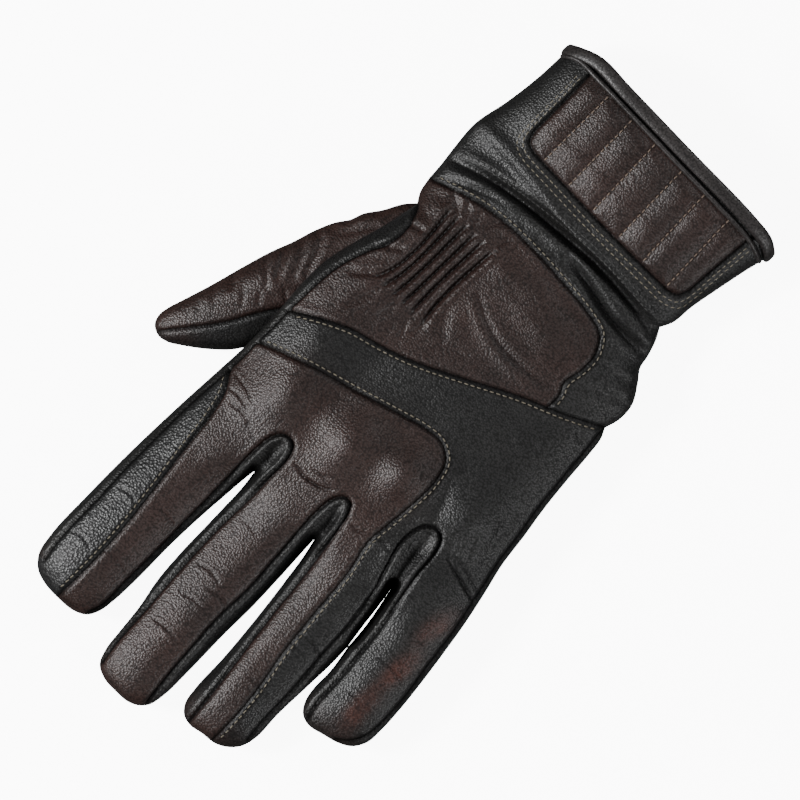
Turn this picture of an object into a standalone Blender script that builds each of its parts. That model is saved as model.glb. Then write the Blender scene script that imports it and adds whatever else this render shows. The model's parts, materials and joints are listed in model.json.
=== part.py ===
"""Left-hand leather riding glove, lying on its palm.

The fingers point along +Y, the thumb is on the +X side and the back of the hand faces +Z. The origin is on the
underside of the palm patch, at the middle of the palm. Lengths are millimetres here, and metres in the meshes.

A glove is soft, so each leather piece that runs over a bend is cut there, and the cut pieces turn about the bend.
"""

import math

import bmesh
import bpy
from mathutils import Matrix, Vector

MM = 0.001

# Driving dimensions
LEATHER = 1.4  # thickness of one leather layer
LINING = 0.8  # thickness of the fleece lining
PROTECTOR_THICK = 2.5
PROTECTOR_DEPTH = 4.2  # from the leather's outside to the protector's
PROTECTOR_END_Y = 32.0
PROTECTOR_ROOM = 4.6  # the hand's lining lies this much deeper under the back, for the protector
LINING_DEPTH = 2.6
LINING_END_Y = 24.0  # the hand's lining stops short of the fingers
GAP = 0.3  # clearance between pieces that touch
ROUNDNESS = 2.5  # 2 is an ellipse, and more is squarer
CLEAR_DEG = 1.5  # spare angle in the notch under a bend

SIDE_Z = 13.0  # height of the hand's side seam
HAND_FLOOR = LEATHER + GAP  # the palm leather lies on the palm patch
WRIST_BEND_Y, WRIST_BEND_Z, WRIST_FLEX_DEG = -75.0, 13.0, 30.0
CROTCH_Y = 44.0  # where the back of the hand parts into fingers
STUB_FROM_Y, STUB_TO_Y = 30.0, 50.0  # the hand's back turns into finger roots between these

FINGER_AXIS_Z = 10.5  # height of the finger bends
FINGER_TOP = 21.5
THUMB_TOP = 18.0
SEAM_DEG = 45.0  # where a finger's back meets its side wall, above the horizontal
PALM_SEAM_DEG = 25.0  # where a side wall meets the finger's palm, below the horizontal

KNUCKLE_FLEX_DEG, MIDDLE_FLEX_DEG, END_FLEX_DEG = 60.0, 75.0, 45.0
THUMB_FLEX_DEG, THUMB_END_FLEX_DEG = 35.0, 50.0

# Outline stations: distance along Y, centre X, half width
HAND_STATIONS = [
    (-127, 4.2, 49.5), (-118, 4.8, 49.3), (-100, 7.2, 48.6), (-88, 9.4, 48.4), (-79, 10.2, 48.6),
    (-75, 10.7, 47.4), (-66, 8.3, 48.6), (-58, 6.2, 50.2), (-50, 3.0, 52.4), (-40, 1.6, 51.2),
    (-30, 1.8, 52.6), (-18, 3.0, 55.0), (-5, 3.6, 56.2), (10, 2.0, 56.9), (25, 0.8, 57.6), (44, -0.6, 59.4),
]
HAND_CENTRES = [(y, x) for y, x, _ in HAND_STATIONS]
HAND_HALVES = [(y, half) for y, _, half in HAND_STATIONS]
HAND_TOPS = [
    (-127, 35), (-110, 33), (-90, 28), (-75, 25), (-55, 25.5), (-30, 27), (0, 28.5), (30, 29.5), (44, 28),
]

FINGERS = {
    "index": {
        "stations": [(45, 45.2, 15.0), (65, 45.5, 15.0), (85, 45.4, 15.5), (110, 44.9, 15.7),
                     (130, 44.6, 14.9)],
        "tip": 139.5,
        "bends": (64.0, 93.0, 116.0),
    },
    "middle": {
        "stations": [(45, 10.6, 14.6), (65, 10.1, 14.7), (80, 9.4, 14.9), (97, 8.9, 14.3),
                     (115, 7.5, 12.9), (140, 5.8, 12.2)],
        "tip": 148.0,
        "bends": (66.0, 99.0, 122.0),
    },
    "ring": {
        "stations": [(45, -19.4, 13.6), (64, -21.6, 14.6), (80, -24.2, 14.8), (95, -25.7, 13.9),
                     (112, -26.3, 12.8), (130, -26.7, 12.6)],
        "tip": 137.0,
        "bends": (64.0, 89.0, 112.0),
    },
    "little": {
        "stations": [(40, -48.4, 12.0), (50, -49.9, 12.6), (60, -51.7, 13.2), (75, -54.0, 13.5),
                     (95, -55.9, 12.5)],
        "tip": 107.5,
        "bends": (57.0, 75.0, 91.0),
    },
}
TIP_ROUND = 12.0  # length of a fingertip's rounding
TIP_SQUARE = 3.0  # squareness of a fingertip, seen from above

# The thumb has its own frame: it starts at THUMB_BASE and leans away from the fingers.
THUMB_BASE = Vector((58.0, -22.0, 0.0))
THUMB_LEAN_DEG = 21.0
THUMB_STATIONS = [
    (-4, 0.0, 8.0), (10, 1.2, 9.0), (29, 1.3, 9.6), (44, -1.9, 11.0), (57, -4.6, 11.6), (67, -3.6, 10.8),
    (76, -1.6, 9.4),
]
THUMB_TIP = 77.5
THUMB_BENDS = (28.0, 52.0)
THUMB_ROOT_FROM = -24.0
THUMB_PALM_FROM_DEG, THUMB_PALM_TO_DEG = 105, 295  # round the thumb, from its back's seam to its gusset's

# The palm leather steps back from the side seam between these, to let the thumb out.
MOUTH_FROM_Y, MOUTH_TO_Y, MOUTH_EASE = -64.0, 26.0, 18.0
SIDE_SEAM_DEG = 356.0
LITTLE_FINGER_TO_X = -32.0  # the palm is shorter below the little finger
PALM_FRONT_Y, PALM_FRONT_LITTLE_Y = 55.5, 47.5
PALM_FROM_DEG = 184.0  # the palm starts at the little finger's side seam
PATCH_X, PATCH_Y, PATCH_LONG, PATCH_HALF = -6.0, -6.0, 36.0, 34.0  # the palm patch's centre and radii
PATCH_FROM_X, PATCH_TO_X = -42, 30

WEB_THICK, WEB_TOP_Z = 0.9, 15.0
WEB_LITTLE_Y, WEB_Y = 33.0, 46.0  # where the webs between the fingers bottom out
LITTLE_CROTCH_Y = 30.0

# Seams on the back of the hand, as (x, y) points from the thumb side to the little finger's side
KNUCKLE_SEAM = [(58, 27.5), (40, 20.5), (20, 14.5), (5, 10), (-8, 7), (-15, 9), (-20, 15)]
BAND_SEAM = [(60, 11), (40, 2.5), (25, -3), (10, -9), (-5, -15.8), (-20, -24), (-35, -31.5), (-50, -39)]
WRIST_SEAM = [
    (58, -55.5), (50, -59), (38, -61.8), (20, -63.5), (0, -63), (-15, -61.5), (-24, -58.5), (-29, -52),
]
RING_SEAM_X = -20.0  # the seam that halves the ring finger's back
WRIST_PANEL_X = -29.0  # the wrist panel's edge on the little finger's side

# The cuff
BACK_EDGE_Y, PALM_EDGE_Y = -120.2, -126.0  # its mouth is further out on the palm than on the back
QUILT_FROM_X, QUILT_TO_X, QUILT_FRONT_Y, QUILT_CORNER = -35.5, 42.5, -87.0, 8.0
QUILT_PROUD = 3.0  # the padded panel stands this high on the cuff
ELASTIC_FROM_Y, ELASTIC_TO_Y, ELASTIC_THICK = -52.0, -19.0, 1.0
TAB_HINGE = Vector((-22.0, -100.0, 1.6))
TAB_X, TAB_Y = (-22, 36), (-113, -87)
LOOP_PAD_X, LOOP_PAD_Y = (-4, 34), (-110, -90)
HOOK_PAD_X, HOOK_PAD_Y = (4, 33), (-109.5, -90.5)
PAD_THICK = 0.9

COLOURS = {
    "leather_brown": ((0.055, 0.032, 0.026), 0.5),
    "leather_black": ((0.022, 0.022, 0.022), 0.5),
    "binding": ((0.018, 0.018, 0.019), 0.4),
    "protector": ((0.20, 0.20, 0.21), 0.8),
    "lining": ((0.025, 0.025, 0.027), 0.95),
    "elastic": ((0.05, 0.05, 0.05), 0.9),
    "hook_loop": ((0.015, 0.015, 0.015), 0.95),
}


# Curves ------------------------------------------------------------------------------------------------------


def curve_value(points, at):
    """The value at a station, on the smooth curve through the (station, value) points, in any order."""
    points = sorted(points)
    if at <= points[0][0]:
        return points[0][1]
    if at >= points[-1][0]:
        return points[-1][1]
    last = len(points) - 1
    i = max(k for k in range(last) if points[k][0] <= at)

    def slope(k):
        before, after = points[max(k - 1, 0)], points[min(k + 1, last)]
        return (after[1] - before[1]) / (after[0] - before[0])

    (x0, y0), (x1, y1) = points[i], points[i + 1]
    span = x1 - x0
    t = (at - x0) / span
    return (
        y0 * (1 + 2 * t) * (1 - t) ** 2
        + slope(i) * span * t * (1 - t) ** 2
        + y1 * t * t * (3 - 2 * t)
        + slope(i + 1) * span * t * t * (t - 1)
    )


def ease(t):
    """0 to 1 with level ends."""
    t = min(max(t, 0.0), 1.0)
    return t * t * (3 - 2 * t)


def mix(a, b, t):
    return a * (1 - t) + b * t


def squared(value):
    """A cosine or sine, bent towards a superellipse's."""
    return math.copysign(abs(value) ** (2 / ROUNDNESS), value)


# Cross-sections ----------------------------------------------------------------------------------------------


def section_point(centre_x, half_width, side_z, top_z, floor_z, degrees, depth):
    """(x, z) on a section, depth inside its skin. 0 degrees is +X, 90 is the top and 270 the flat bottom."""
    c, s = squared(math.cos(math.radians(degrees))), squared(math.sin(math.radians(degrees)))
    x = centre_x + (half_width - depth) * c
    if s >= 0:
        return x, side_z + (top_z - side_z - depth) * s
    swell = 1.25  # the bottom is cut flat from a fuller curve
    return x, max(floor_z + depth, side_z + ((side_z - floor_z) * swell - depth) * s)


def tube_point(degrees, y, depth):
    """A point of the plain flattened tube that the hand and the cuff share."""
    centre = curve_value(HAND_CENTRES, y)
    half = curve_value(HAND_HALVES, y)
    top = curve_value(HAND_TOPS, y)
    floor = HAND_FLOOR + 3.0 * ease((WRIST_BEND_Y + 10 - y) / 20)  # the cuff clears its closure tab
    x, z = section_point(centre, half, SIDE_Z, top, floor, degrees, depth)
    return Vector((x, y, z))


def hand_point(degrees, y, depth):
    """A point of the skin: the tube, pushed up over the knuckles."""
    point = tube_point(degrees, y, depth)
    if point.z > SIDE_Z:
        point.z += knuckle_bulge(point.x, y)
    return point


def knuckle_bulge(x, y):
    """The three knuckles of the protector push the leather up."""
    rise = 0.0
    for kx, ky, height in ((-11, 27, 4.0), (13, 30, 4.5), (39, 29, 3.0)):
        rise += height * math.exp(-(((x - kx) / 13) ** 2) - ((y - ky) / 14) ** 2)
    return rise


def hand_degrees(x, y):
    """The angle at which the hand's back passes through x."""
    centre = curve_value(HAND_CENTRES, y)
    half = curve_value(HAND_HALVES, y)
    share = min(max((x - centre) / half, -0.985), 0.985)
    return math.degrees(math.acos(math.copysign(abs(share) ** (ROUNDNESS / 2), share)))


class Digit:
    """A finger or the thumb: a tube along its own Y, closed at its tip."""

    def __init__(self, stations, tip, bends, flexes, top, place=None):
        self.centres = [(s[0], s[1]) for s in stations]
        self.halves = [(s[0], s[2]) for s in stations]
        self.tip, self.bends, self.flexes, self.top = tip, bends, flexes, top
        self.axis_z = FINGER_AXIS_Z * top / FINGER_TOP
        self.place = place or Matrix.Identity(4)

    def local(self, degrees, y, depth):
        """A point of the skin in the digit's own frame."""
        into = min(max((y - self.tip + TIP_ROUND) / TIP_ROUND, 0.0), 0.999)
        share = (1 - into**TIP_SQUARE) ** (1 / TIP_SQUARE)
        half = curve_value(self.halves, y) * share
        slope = 1 - 0.12 * ease((y - self.bends[0]) / (self.tip - self.bends[0]))
        top = self.axis_z + (self.top * slope - self.axis_z) * math.sqrt(share)
        floor = self.axis_z * 0.5 * (1 - math.sqrt(share))
        x, z = section_point(curve_value(self.centres, y), half, self.axis_z, top, floor, degrees, depth)
        return Vector((x, y, z))

    def point(self, degrees, y, depth):
        return self.place @ self.local(degrees, y, depth)

    def cut_y(self, bend, side, degrees, depth):
        """Where a wall ends before (side -1) or after (+1) a bend: notched below the axis."""
        y = self.bends[bend]
        below = max(0.0, self.axis_z - self.local(degrees, y, depth).z)
        return y + side * (GAP / 2 + below * math.tan(math.radians(self.flexes[bend] / 2 + CLEAR_DEG)))

    def degrees_at(self, x, y):
        """The angle at which the digit's back passes through x."""
        share = (x - curve_value(self.centres, y)) / curve_value(self.halves, y)
        share = min(max(share, -0.97), 0.97)
        return math.degrees(math.acos(math.copysign(abs(share) ** (ROUNDNESS / 2), share)))


# Solids ------------------------------------------------------------------------------------------------------


def make_object(name, points, faces, material, body):
    """A mesh object from points in millimetres, hung on the empty of its body."""
    mesh = bpy.data.meshes.new(name)
    mesh.from_pydata([Vector(p) * MM for p in points], [], faces)
    build = bmesh.new()
    build.from_mesh(mesh)
    bmesh.ops.recalc_face_normals(build, faces=build.faces)
    build.to_mesh(mesh)
    build.free()
    mesh.transform(body.matrix_world.inverted())
    mesh.materials.append(material)
    mesh.shade_smooth()
    mesh.set_sharp_from_angle(angle=math.radians(50))
    thing = bpy.data.objects.new(name, mesh)
    bpy.context.scene.collection.objects.link(thing)
    thing.parent = body
    return thing


def grid_solid(layers, closed_round=False):
    """Points and faces of a thin solid from two grids of points, layers[outer or inner][column][row]."""
    columns, rows = len(layers[0]), len(layers[0][0])
    points = [p for layer in layers for column in layer for p in column]

    def at(layer, column, row):
        return (layer * columns + column % columns) * rows + row

    faces = []
    spans = columns if closed_round else columns - 1
    for c in range(spans):
        for r in range(rows - 1):
            for layer in (0, 1):
                corners = ((c, r), (c + 1, r), (c + 1, r + 1), (c, r + 1))
                faces.append([at(layer, *corner) for corner in corners])
        for r in (0, rows - 1):
            faces.append([at(0, c, r), at(0, c + 1, r), at(1, c + 1, r), at(1, c, r)])
    if not closed_round:
        for c in (0, columns - 1):
            for r in range(rows - 1):
                faces.append([at(0, c, r), at(0, c, r + 1), at(1, c, r + 1), at(1, c, r)])
    return points, faces


def wall(name, surface, columns, low, high, rows, material, body, depths=(0.0, LEATHER), closed_round=False):
    """A thin solid. surface(column, y, depth) is a point; low and high(column, depth) are a column's ends."""
    layers = []
    for depth in depths:
        grid = []
        for column in columns:
            start, end = low(column, depth), high(column, depth)
            grid.append([surface(column, mix(start, end, r / rows), depth) for r in range(rows + 1)])
        layers.append(grid)
    points, faces = grid_solid(layers, closed_round)
    return make_object(name, points, faces, material, body)


def spread(start, end, count):
    """count + 1 even values from start to end."""
    return [mix(start, end, i / count) for i in range(count + 1)]


# Digits ------------------------------------------------------------------------------------------------------


def digit_wall(name, digit, degrees, segment, cells, material, body):
    """One leather piece of a digit's tube, between two bends."""
    edge = math.degrees(GAP / 2 / 12.0)  # half the gap, as an angle on a digit about 12 mm in radius
    first, last = degrees
    wall(
        name,
        digit.point,
        spread(first + edge, last - edge, cells),
        lambda a, depth: digit.cut_y(segment, 1, a, depth),
        lambda a, depth: digit.cut_y(segment + 1, -1, a, depth),
        3,
        material,
        body,
    )


def fingertip(name, digit, bend, material, body):
    """The end of a digit: a thimble that is open towards the hand."""
    around, along, closing = 14, 5, 0.93
    angles = [360 * i / around for i in range(around)]
    layers = []
    for depth in (0.0, LEATHER):
        end = digit.tip - depth
        grid = []
        for a in angles:
            start = digit.cut_y(bend, 1, a, depth)
            column = []
            for r in range(along + 1):
                t = math.sin(math.radians(90 * r / along)) * closing
                y = mix(start, end, t)
                column.append(digit.point(a, y, depth))
            grid.append(column)
        layers.append(grid)
    points, faces = grid_solid(layers, closed_round=True)
    rows, columns = along + 1, around
    faces = [f for f in faces if not all(i % rows == rows - 1 for i in f)]
    for layer in (0, 1):
        ring = [(layer * columns + c) * rows + rows - 1 for c in range(columns)]
        middle = sum((Vector(points[i]) for i in ring), Vector()) / columns
        forward = digit.place.to_3x3() @ Vector((0, 1, 0))
        points.append(middle + forward * 0.6)
        faces += [[ring[c], ring[(c + 1) % columns], len(points) - 1] for c in range(columns)]
    make_object(name, points, faces, material, body)


FINGER_WALLS = {
    # name of the piece: (from degrees, to degrees, cells round, material)
    "index": [
        ("outer_back", PALM_SEAM_DEG, 85, 4, "leather_black"),
        ("inner_back", 85, 180 - SEAM_DEG, 3, "leather_brown"),
        ("fourchette", 180 - SEAM_DEG, 180 + PALM_SEAM_DEG, 3, "leather_black"),
        ("palm", 180 + PALM_SEAM_DEG, 360 + PALM_SEAM_DEG, 6, "leather_black"),
    ],
    "middle": [
        ("fourchette_thumb_side", -PALM_SEAM_DEG, SEAM_DEG, 3, "leather_black"),
        ("back", SEAM_DEG, 180 - SEAM_DEG, 5, "leather_brown"),
        ("fourchette_little_side", 180 - SEAM_DEG, 180 + PALM_SEAM_DEG, 3, "leather_black"),
        ("palm", 180 + PALM_SEAM_DEG, 360 - PALM_SEAM_DEG, 4, "leather_black"),
    ],
    "ring": [
        ("fourchette_thumb_side", -PALM_SEAM_DEG, SEAM_DEG, 3, "leather_black"),
        ("inner_back", SEAM_DEG, 95, 3, "leather_brown"),
        ("outer_back", 95, 180 - SEAM_DEG, 3, "leather_black"),
        ("fourchette_little_side", 180 - SEAM_DEG, 180 + PALM_SEAM_DEG, 3, "leather_black"),
        ("palm", 180 + PALM_SEAM_DEG, 360 - PALM_SEAM_DEG, 4, "leather_black"),
    ],
    "little": [
        ("fourchette", -PALM_SEAM_DEG, SEAM_DEG, 3, "leather_black"),
        ("back", SEAM_DEG, 168, 5, "leather_black"),
        ("palm", 168, 360 - PALM_SEAM_DEG, 5, "leather_black"),
    ],
}
SEGMENTS = ("base", "middle", "tip")


def build_finger(name, hand, materials):
    """Two rings of leather walls and a fingertip, each on its own bend. Returns the digit's shape."""
    table = FINGERS[name]
    flexes = (KNUCKLE_FLEX_DEG, MIDDLE_FLEX_DEG, END_FLEX_DEG)
    digit = Digit(table["stations"], table["tip"], table["bends"], flexes, FINGER_TOP)
    body = hand
    for segment, part in enumerate(SEGMENTS):
        pivot = Vector((curve_value(digit.centres, digit.bends[segment]), digit.bends[segment], digit.axis_z))
        body = add_body(f"{name}_{part}_bend", pivot, body)
        if part == "tip":
            leather = "leather_brown" if name == "middle" else "leather_black"
            fingertip(f"{name}_fingertip", digit, segment, materials[leather], body)
            continue
        for piece, first, last, cells, material in FINGER_WALLS[name]:
            digit_wall(f"{name}_{part}_{piece}", digit, (first, last), segment, cells, materials[material], body)
    return digit


def build_thumb(hand, materials):
    """The fixed root, a middle ring of two pieces, and the tip."""
    place = Matrix.Translation(THUMB_BASE) @ Matrix.Rotation(-math.radians(THUMB_LEAN_DEG), 4, "Z")
    flexes = (THUMB_FLEX_DEG, THUMB_END_FLEX_DEG)
    thumb = Digit(THUMB_STATIONS, THUMB_TIP, THUMB_BENDS, flexes, THUMB_TOP, place)

    def root_start(_angle, _depth):
        return THUMB_ROOT_FROM

    def root_point(degrees, y, depth):
        """The root tapers to nothing at the wrist, and its opening faces the hand."""
        point = thumb.local(degrees, max(y, -4.0), depth)
        shrink = ease((y + 34.0) / 36.0)
        centre = curve_value(thumb.centres, y)
        point.x = centre - 9.0 * (1 - shrink) + (point.x - centre) * mix(0.35, 1.0, shrink)
        point.z = depth + (point.z - depth) * mix(0.7, 1.0, shrink)
        point.y = y
        return place @ point

    wall(
        "thumb_gusset", root_point, spread(-78, 78, 8), root_start,
        lambda a, depth: thumb.cut_y(0, -1, a, depth), 4, materials["leather_brown"], hand,
    )
    pivot = place @ Vector((curve_value(thumb.centres, THUMB_BENDS[0]), THUMB_BENDS[0], thumb.axis_z))
    base = add_body("thumb_base_bend", pivot, hand)
    back, palm = (THUMB_PALM_TO_DEG - 360, THUMB_PALM_FROM_DEG), (THUMB_PALM_FROM_DEG, THUMB_PALM_TO_DEG)
    digit_wall("thumb_back", thumb, back, 0, 7, materials["leather_brown"], base)
    digit_wall("thumb_palm", thumb, palm, 0, 7, materials["leather_black"], base)
    pivot = place @ Vector((curve_value(thumb.centres, THUMB_BENDS[1]), THUMB_BENDS[1], thumb.axis_z))
    end = add_body("thumb_tip_bend", pivot, base)
    fingertip("thumb_tip", thumb, 1, materials["leather_brown"], end)
    return thumb


# Back of the hand --------------------------------------------------------------------------------------------


def finger_columns(digit, xs):
    """Columns from the hand's back on to a finger's root, as (x on the hand, x at the root, digit)."""
    return [(hand_x, root_x, digit) for hand_x, root_x in xs]


def hand_columns(*xs):
    """Columns that stay on the hand's back."""
    return [(x, None, None) for x in xs]


def back_point(column, y, depth):
    """The hand's back, which swells into finger roots past the knuckles."""
    hand_x, root_x, digit = column
    on_hand = hand_point(hand_degrees(hand_x, min(y, CROTCH_Y)), min(y, CROTCH_Y), depth)
    on_hand.y = y
    if digit is None:
        return on_hand
    on_finger = digit.point(digit.degrees_at(root_x, y), y, depth)
    return on_hand.lerp(on_finger, ease((y - STUB_FROM_Y) / (STUB_TO_Y - STUB_FROM_Y)))


def root_end(column, depth):
    """Where a column of the back ends: at its finger's first bend, or at the crotch between fingers."""
    _, root_x, digit = column
    if digit is None:
        return CROTCH_Y - GAP
    y = digit.bends[0]
    return digit.cut_y(0, -1, digit.degrees_at(root_x, y), depth)


def seam_y(seam, column, side):
    """A seam's y in a column, with half the gap before or after it."""
    return curve_value(seam, column[0]) + side * GAP / 2


def wrist_cut(z, side):
    """Where the hand (side +1) and the cuff (-1) end at the wrist's bend, notched above and below its axis."""
    away = abs(z - WRIST_BEND_Z)
    return WRIST_BEND_Y + side * (GAP / 2 + away * math.tan(math.radians(WRIST_FLEX_DEG / 2 + CLEAR_DEG)))


def hand_cut(degrees, depth, side):
    return wrist_cut(hand_point(degrees, WRIST_BEND_Y, depth).z, side)


def build_hand_back(digits, hand, materials):
    index, middle, ring, little = (digits[n] for n in ("index", "middle", "ring", "little"))
    inner, outer = RING_SEAM_X + GAP, RING_SEAM_X - GAP
    over_ring = finger_columns(ring, [(inner, inner), (-15.5, -15.5), (-12, -12), (-9.5, -9.8)])
    over_middle = finger_columns(
        middle, [(-0.6, -0.8), (4.5, 4.5), (10.5, 10.5), (16.5, 16.5), (21.6, 21.4)]
    )
    over_index = finger_columns(index, [(33.0, 33.8), (39, 39.5), (45.2, 45.2), (52, 52), (57.0, 57.4)])
    ring_to_middle, middle_to_index = hand_columns(-9.2, -5.2, -0.9), hand_columns(21.9, 27.3, 32.7)
    knuckle_columns = over_ring + ring_to_middle + over_middle + middle_to_index + over_index
    wall(
        "knuckle_panel", back_point, knuckle_columns,
        lambda c, depth: seam_y(KNUCKLE_SEAM, c, 1), root_end, 11, materials["leather_brown"], hand,
    )

    def under_back(x, y, depth):
        """The hand's back at x, which drops where the finger roots begin."""
        point = back_point((x, None, None), y, depth)
        point.z -= 17.0 * ease((y - STUB_FROM_Y) / (STUB_TO_Y - STUB_FROM_Y))
        return point

    wall(
        "knuckle_protector", under_back, [-15.5, -12, -8, -3, 3, 9, 15, 21, 27, 33, 39, 45, 49],
        lambda x, depth: curve_value(KNUCKLE_SEAM, x) + 3, lambda x, depth: PROTECTOR_END_Y, 7,
        materials["protector"], hand, depths=(PROTECTOR_DEPTH, PROTECTOR_DEPTH + PROTECTOR_THICK),
    )

    over_little = finger_columns(
        little, [(-57.5, -61.0), (-53, -57), (-48, -50.5), (-43.5, -45), (-38.8, -40.4)]
    )
    over_ring = finger_columns(ring, [(-28.4, -30.8), (-24.5, -25.5), (outer, outer)])
    little_to_ring = hand_columns(-38.5, -33.4, -28.7)
    across = hand_columns(inner, -16, -11, -6, 0, 10, 20, 30, 40, 49, 57.5)

    def band_end(column, depth):
        if column in across:
            return seam_y(KNUCKLE_SEAM, column, -1)
        return LITTLE_CROTCH_Y if column in little_to_ring else root_end(column, depth)

    wall(
        "hand_back_band", back_point, over_little + little_to_ring + over_ring + across,
        lambda c, depth: seam_y(BAND_SEAM, c, 1), band_end, 7, materials["leather_black"], hand,
    )
    wrist_columns = hand_columns(WRIST_PANEL_X + GAP, -25, -18, -8, 4, 16, 28, 40, 49, 57.5)
    wall(
        "wrist_panel", back_point, wrist_columns,
        lambda c, depth: seam_y(WRIST_SEAM, c, 1), lambda c, depth: seam_y(BAND_SEAM, c, -1), 6,
        materials["leather_brown"], hand,
    )

    left = hand_columns(-51, -46, -40, -34, WRIST_PANEL_X - GAP)

    def gather_end(column, depth):
        return seam_y(BAND_SEAM if column in left else WRIST_SEAM, column, -1)

    def gather_start(column, depth):
        return hand_cut(hand_degrees(column[0], WRIST_BEND_Y), depth, 1)

    wall(
        "wrist_gather", back_point, left + wrist_columns, gather_start, gather_end, 4,
        materials["leather_black"], hand,
    )
    wall(
        "wrist_elastic", under_back, [21, 26, 31, 36, 41], lambda x, depth: ELASTIC_FROM_Y,
        lambda x, depth: ELASTIC_TO_Y, 4, materials["elastic"], hand,
        depths=(LEATHER + GAP, LEATHER + GAP + ELASTIC_THICK),
    )


# Palm --------------------------------------------------------------------------------------------------------


def thumb_side_degrees(y, thumb):
    """Where the palm leather ends on the thumb's side: at the thumb's mouth, or at the side seam past it."""
    lean = math.radians(THUMB_LEAN_DEG)
    reach = (max(s[1] for s in thumb.halves) + 0.9) / math.cos(lean)
    mouth_x = THUMB_BASE.x + (y - THUMB_BASE.y) * math.tan(lean) - reach
    centre = curve_value(HAND_CENTRES, y)
    half = curve_value(HAND_HALVES, y)
    share = min(max((mouth_x - 1.0 - centre) / half, 0.0), 0.9)
    at_mouth = 360 - math.degrees(math.acos(share ** (ROUNDNESS / 2)))
    opened = ease((y - MOUTH_FROM_Y) / MOUTH_EASE) * ease((MOUTH_TO_Y - y) / MOUTH_EASE)
    return mix(SIDE_SEAM_DEG, at_mouth, opened)


def build_palm(digits, thumb, hand, materials):
    columns = spread(0.0, 1.0, 20)

    def palm_point(share, y, depth):
        section_y = min(y, CROTCH_Y)
        point = hand_point(mix(PALM_FROM_DEG, thumb_side_degrees(y, thumb), share), section_y, depth)
        point.y = y
        return point

    def palm_end(share, depth):
        """The palm's front edge, behind the notches of the finger bends."""
        beside_little = palm_point(share, CROTCH_Y, depth).x < LITTLE_FINGER_TO_X
        return PALM_FRONT_LITTLE_Y if beside_little else PALM_FRONT_Y

    def palm_start(share, depth):
        return hand_cut(mix(PALM_FROM_DEG, SIDE_SEAM_DEG, share), depth, 1)

    wall("palm_panel", palm_point, columns, palm_start, palm_end, 18, materials["leather_black"], hand)

    def patch_point(x, y, depth):
        return Vector((x, y, depth))

    def patch_half(x):
        """The patch is an oval that covers the heel and the middle of the palm."""
        return PATCH_HALF * math.sqrt(max(0.04, 1 - ((x - PATCH_X) / PATCH_LONG) ** 2))

    wall(
        "palm_patch", patch_point, spread(PATCH_FROM_X, PATCH_TO_X, 10),
        lambda x, depth: PATCH_Y - patch_half(x), lambda x, depth: PATCH_Y + patch_half(x), 1,
        materials["leather_brown"], hand,
    )

    lining_end = thumb_side_degrees(0.0, thumb) - 6

    def lining_point(degrees, y, depth):
        return tube_point(degrees, y, depth + PROTECTOR_ROOM * max(0.0, math.sin(math.radians(degrees))))

    wall(
        "hand_lining", lining_point, spread(40, lining_end - 8, 24),
        lambda a, depth: hand_cut(a, depth, 1), lambda a, depth: LINING_END_Y, 7,
        materials["lining"], hand, depths=(LINING_DEPTH, LINING_DEPTH + LINING),
    )


def build_web(name, near, far, bottom_y, hand, materials):
    """The fourchette's fold between two fingers: a U of leather that stands between their roots."""
    top_y = min(near.bends[0], far.bends[0]) - 1.0
    left = curve_value(near.centres, top_y) + curve_value(near.halves, top_y) - 0.3
    right = curve_value(far.centres, top_y) - curve_value(far.halves, top_y) + 0.3
    half, middle = (right - left) / 2, (left + right) / 2
    base_z = HAND_FLOOR + LEATHER + GAP
    arc_y = bottom_y + abs(half) + 2
    outline = [(-1, top_y), (-1, mix(top_y, arc_y, 0.5))]
    for a in range(0, 181, 30):
        outline.append((-math.cos(math.radians(a)), arc_y - abs(half) * math.sin(math.radians(a))))
    outline += [(1, mix(top_y, arc_y, 0.5)), (1, top_y)]
    layers = []
    for inset in (0.0, WEB_THICK):
        grid = []
        for share, y in outline:
            x = middle + share * (abs(half) - inset)
            shift = inset if abs(share) < 0.99 else 0.0
            grid.append([Vector((x, y + shift, z)) for z in (base_z, WEB_TOP_Z)])
        layers.append(grid)
    points, faces = grid_solid(layers)
    make_object(name, points, faces, materials["leather_black"], hand)


# Cuff --------------------------------------------------------------------------------------------------------


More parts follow.
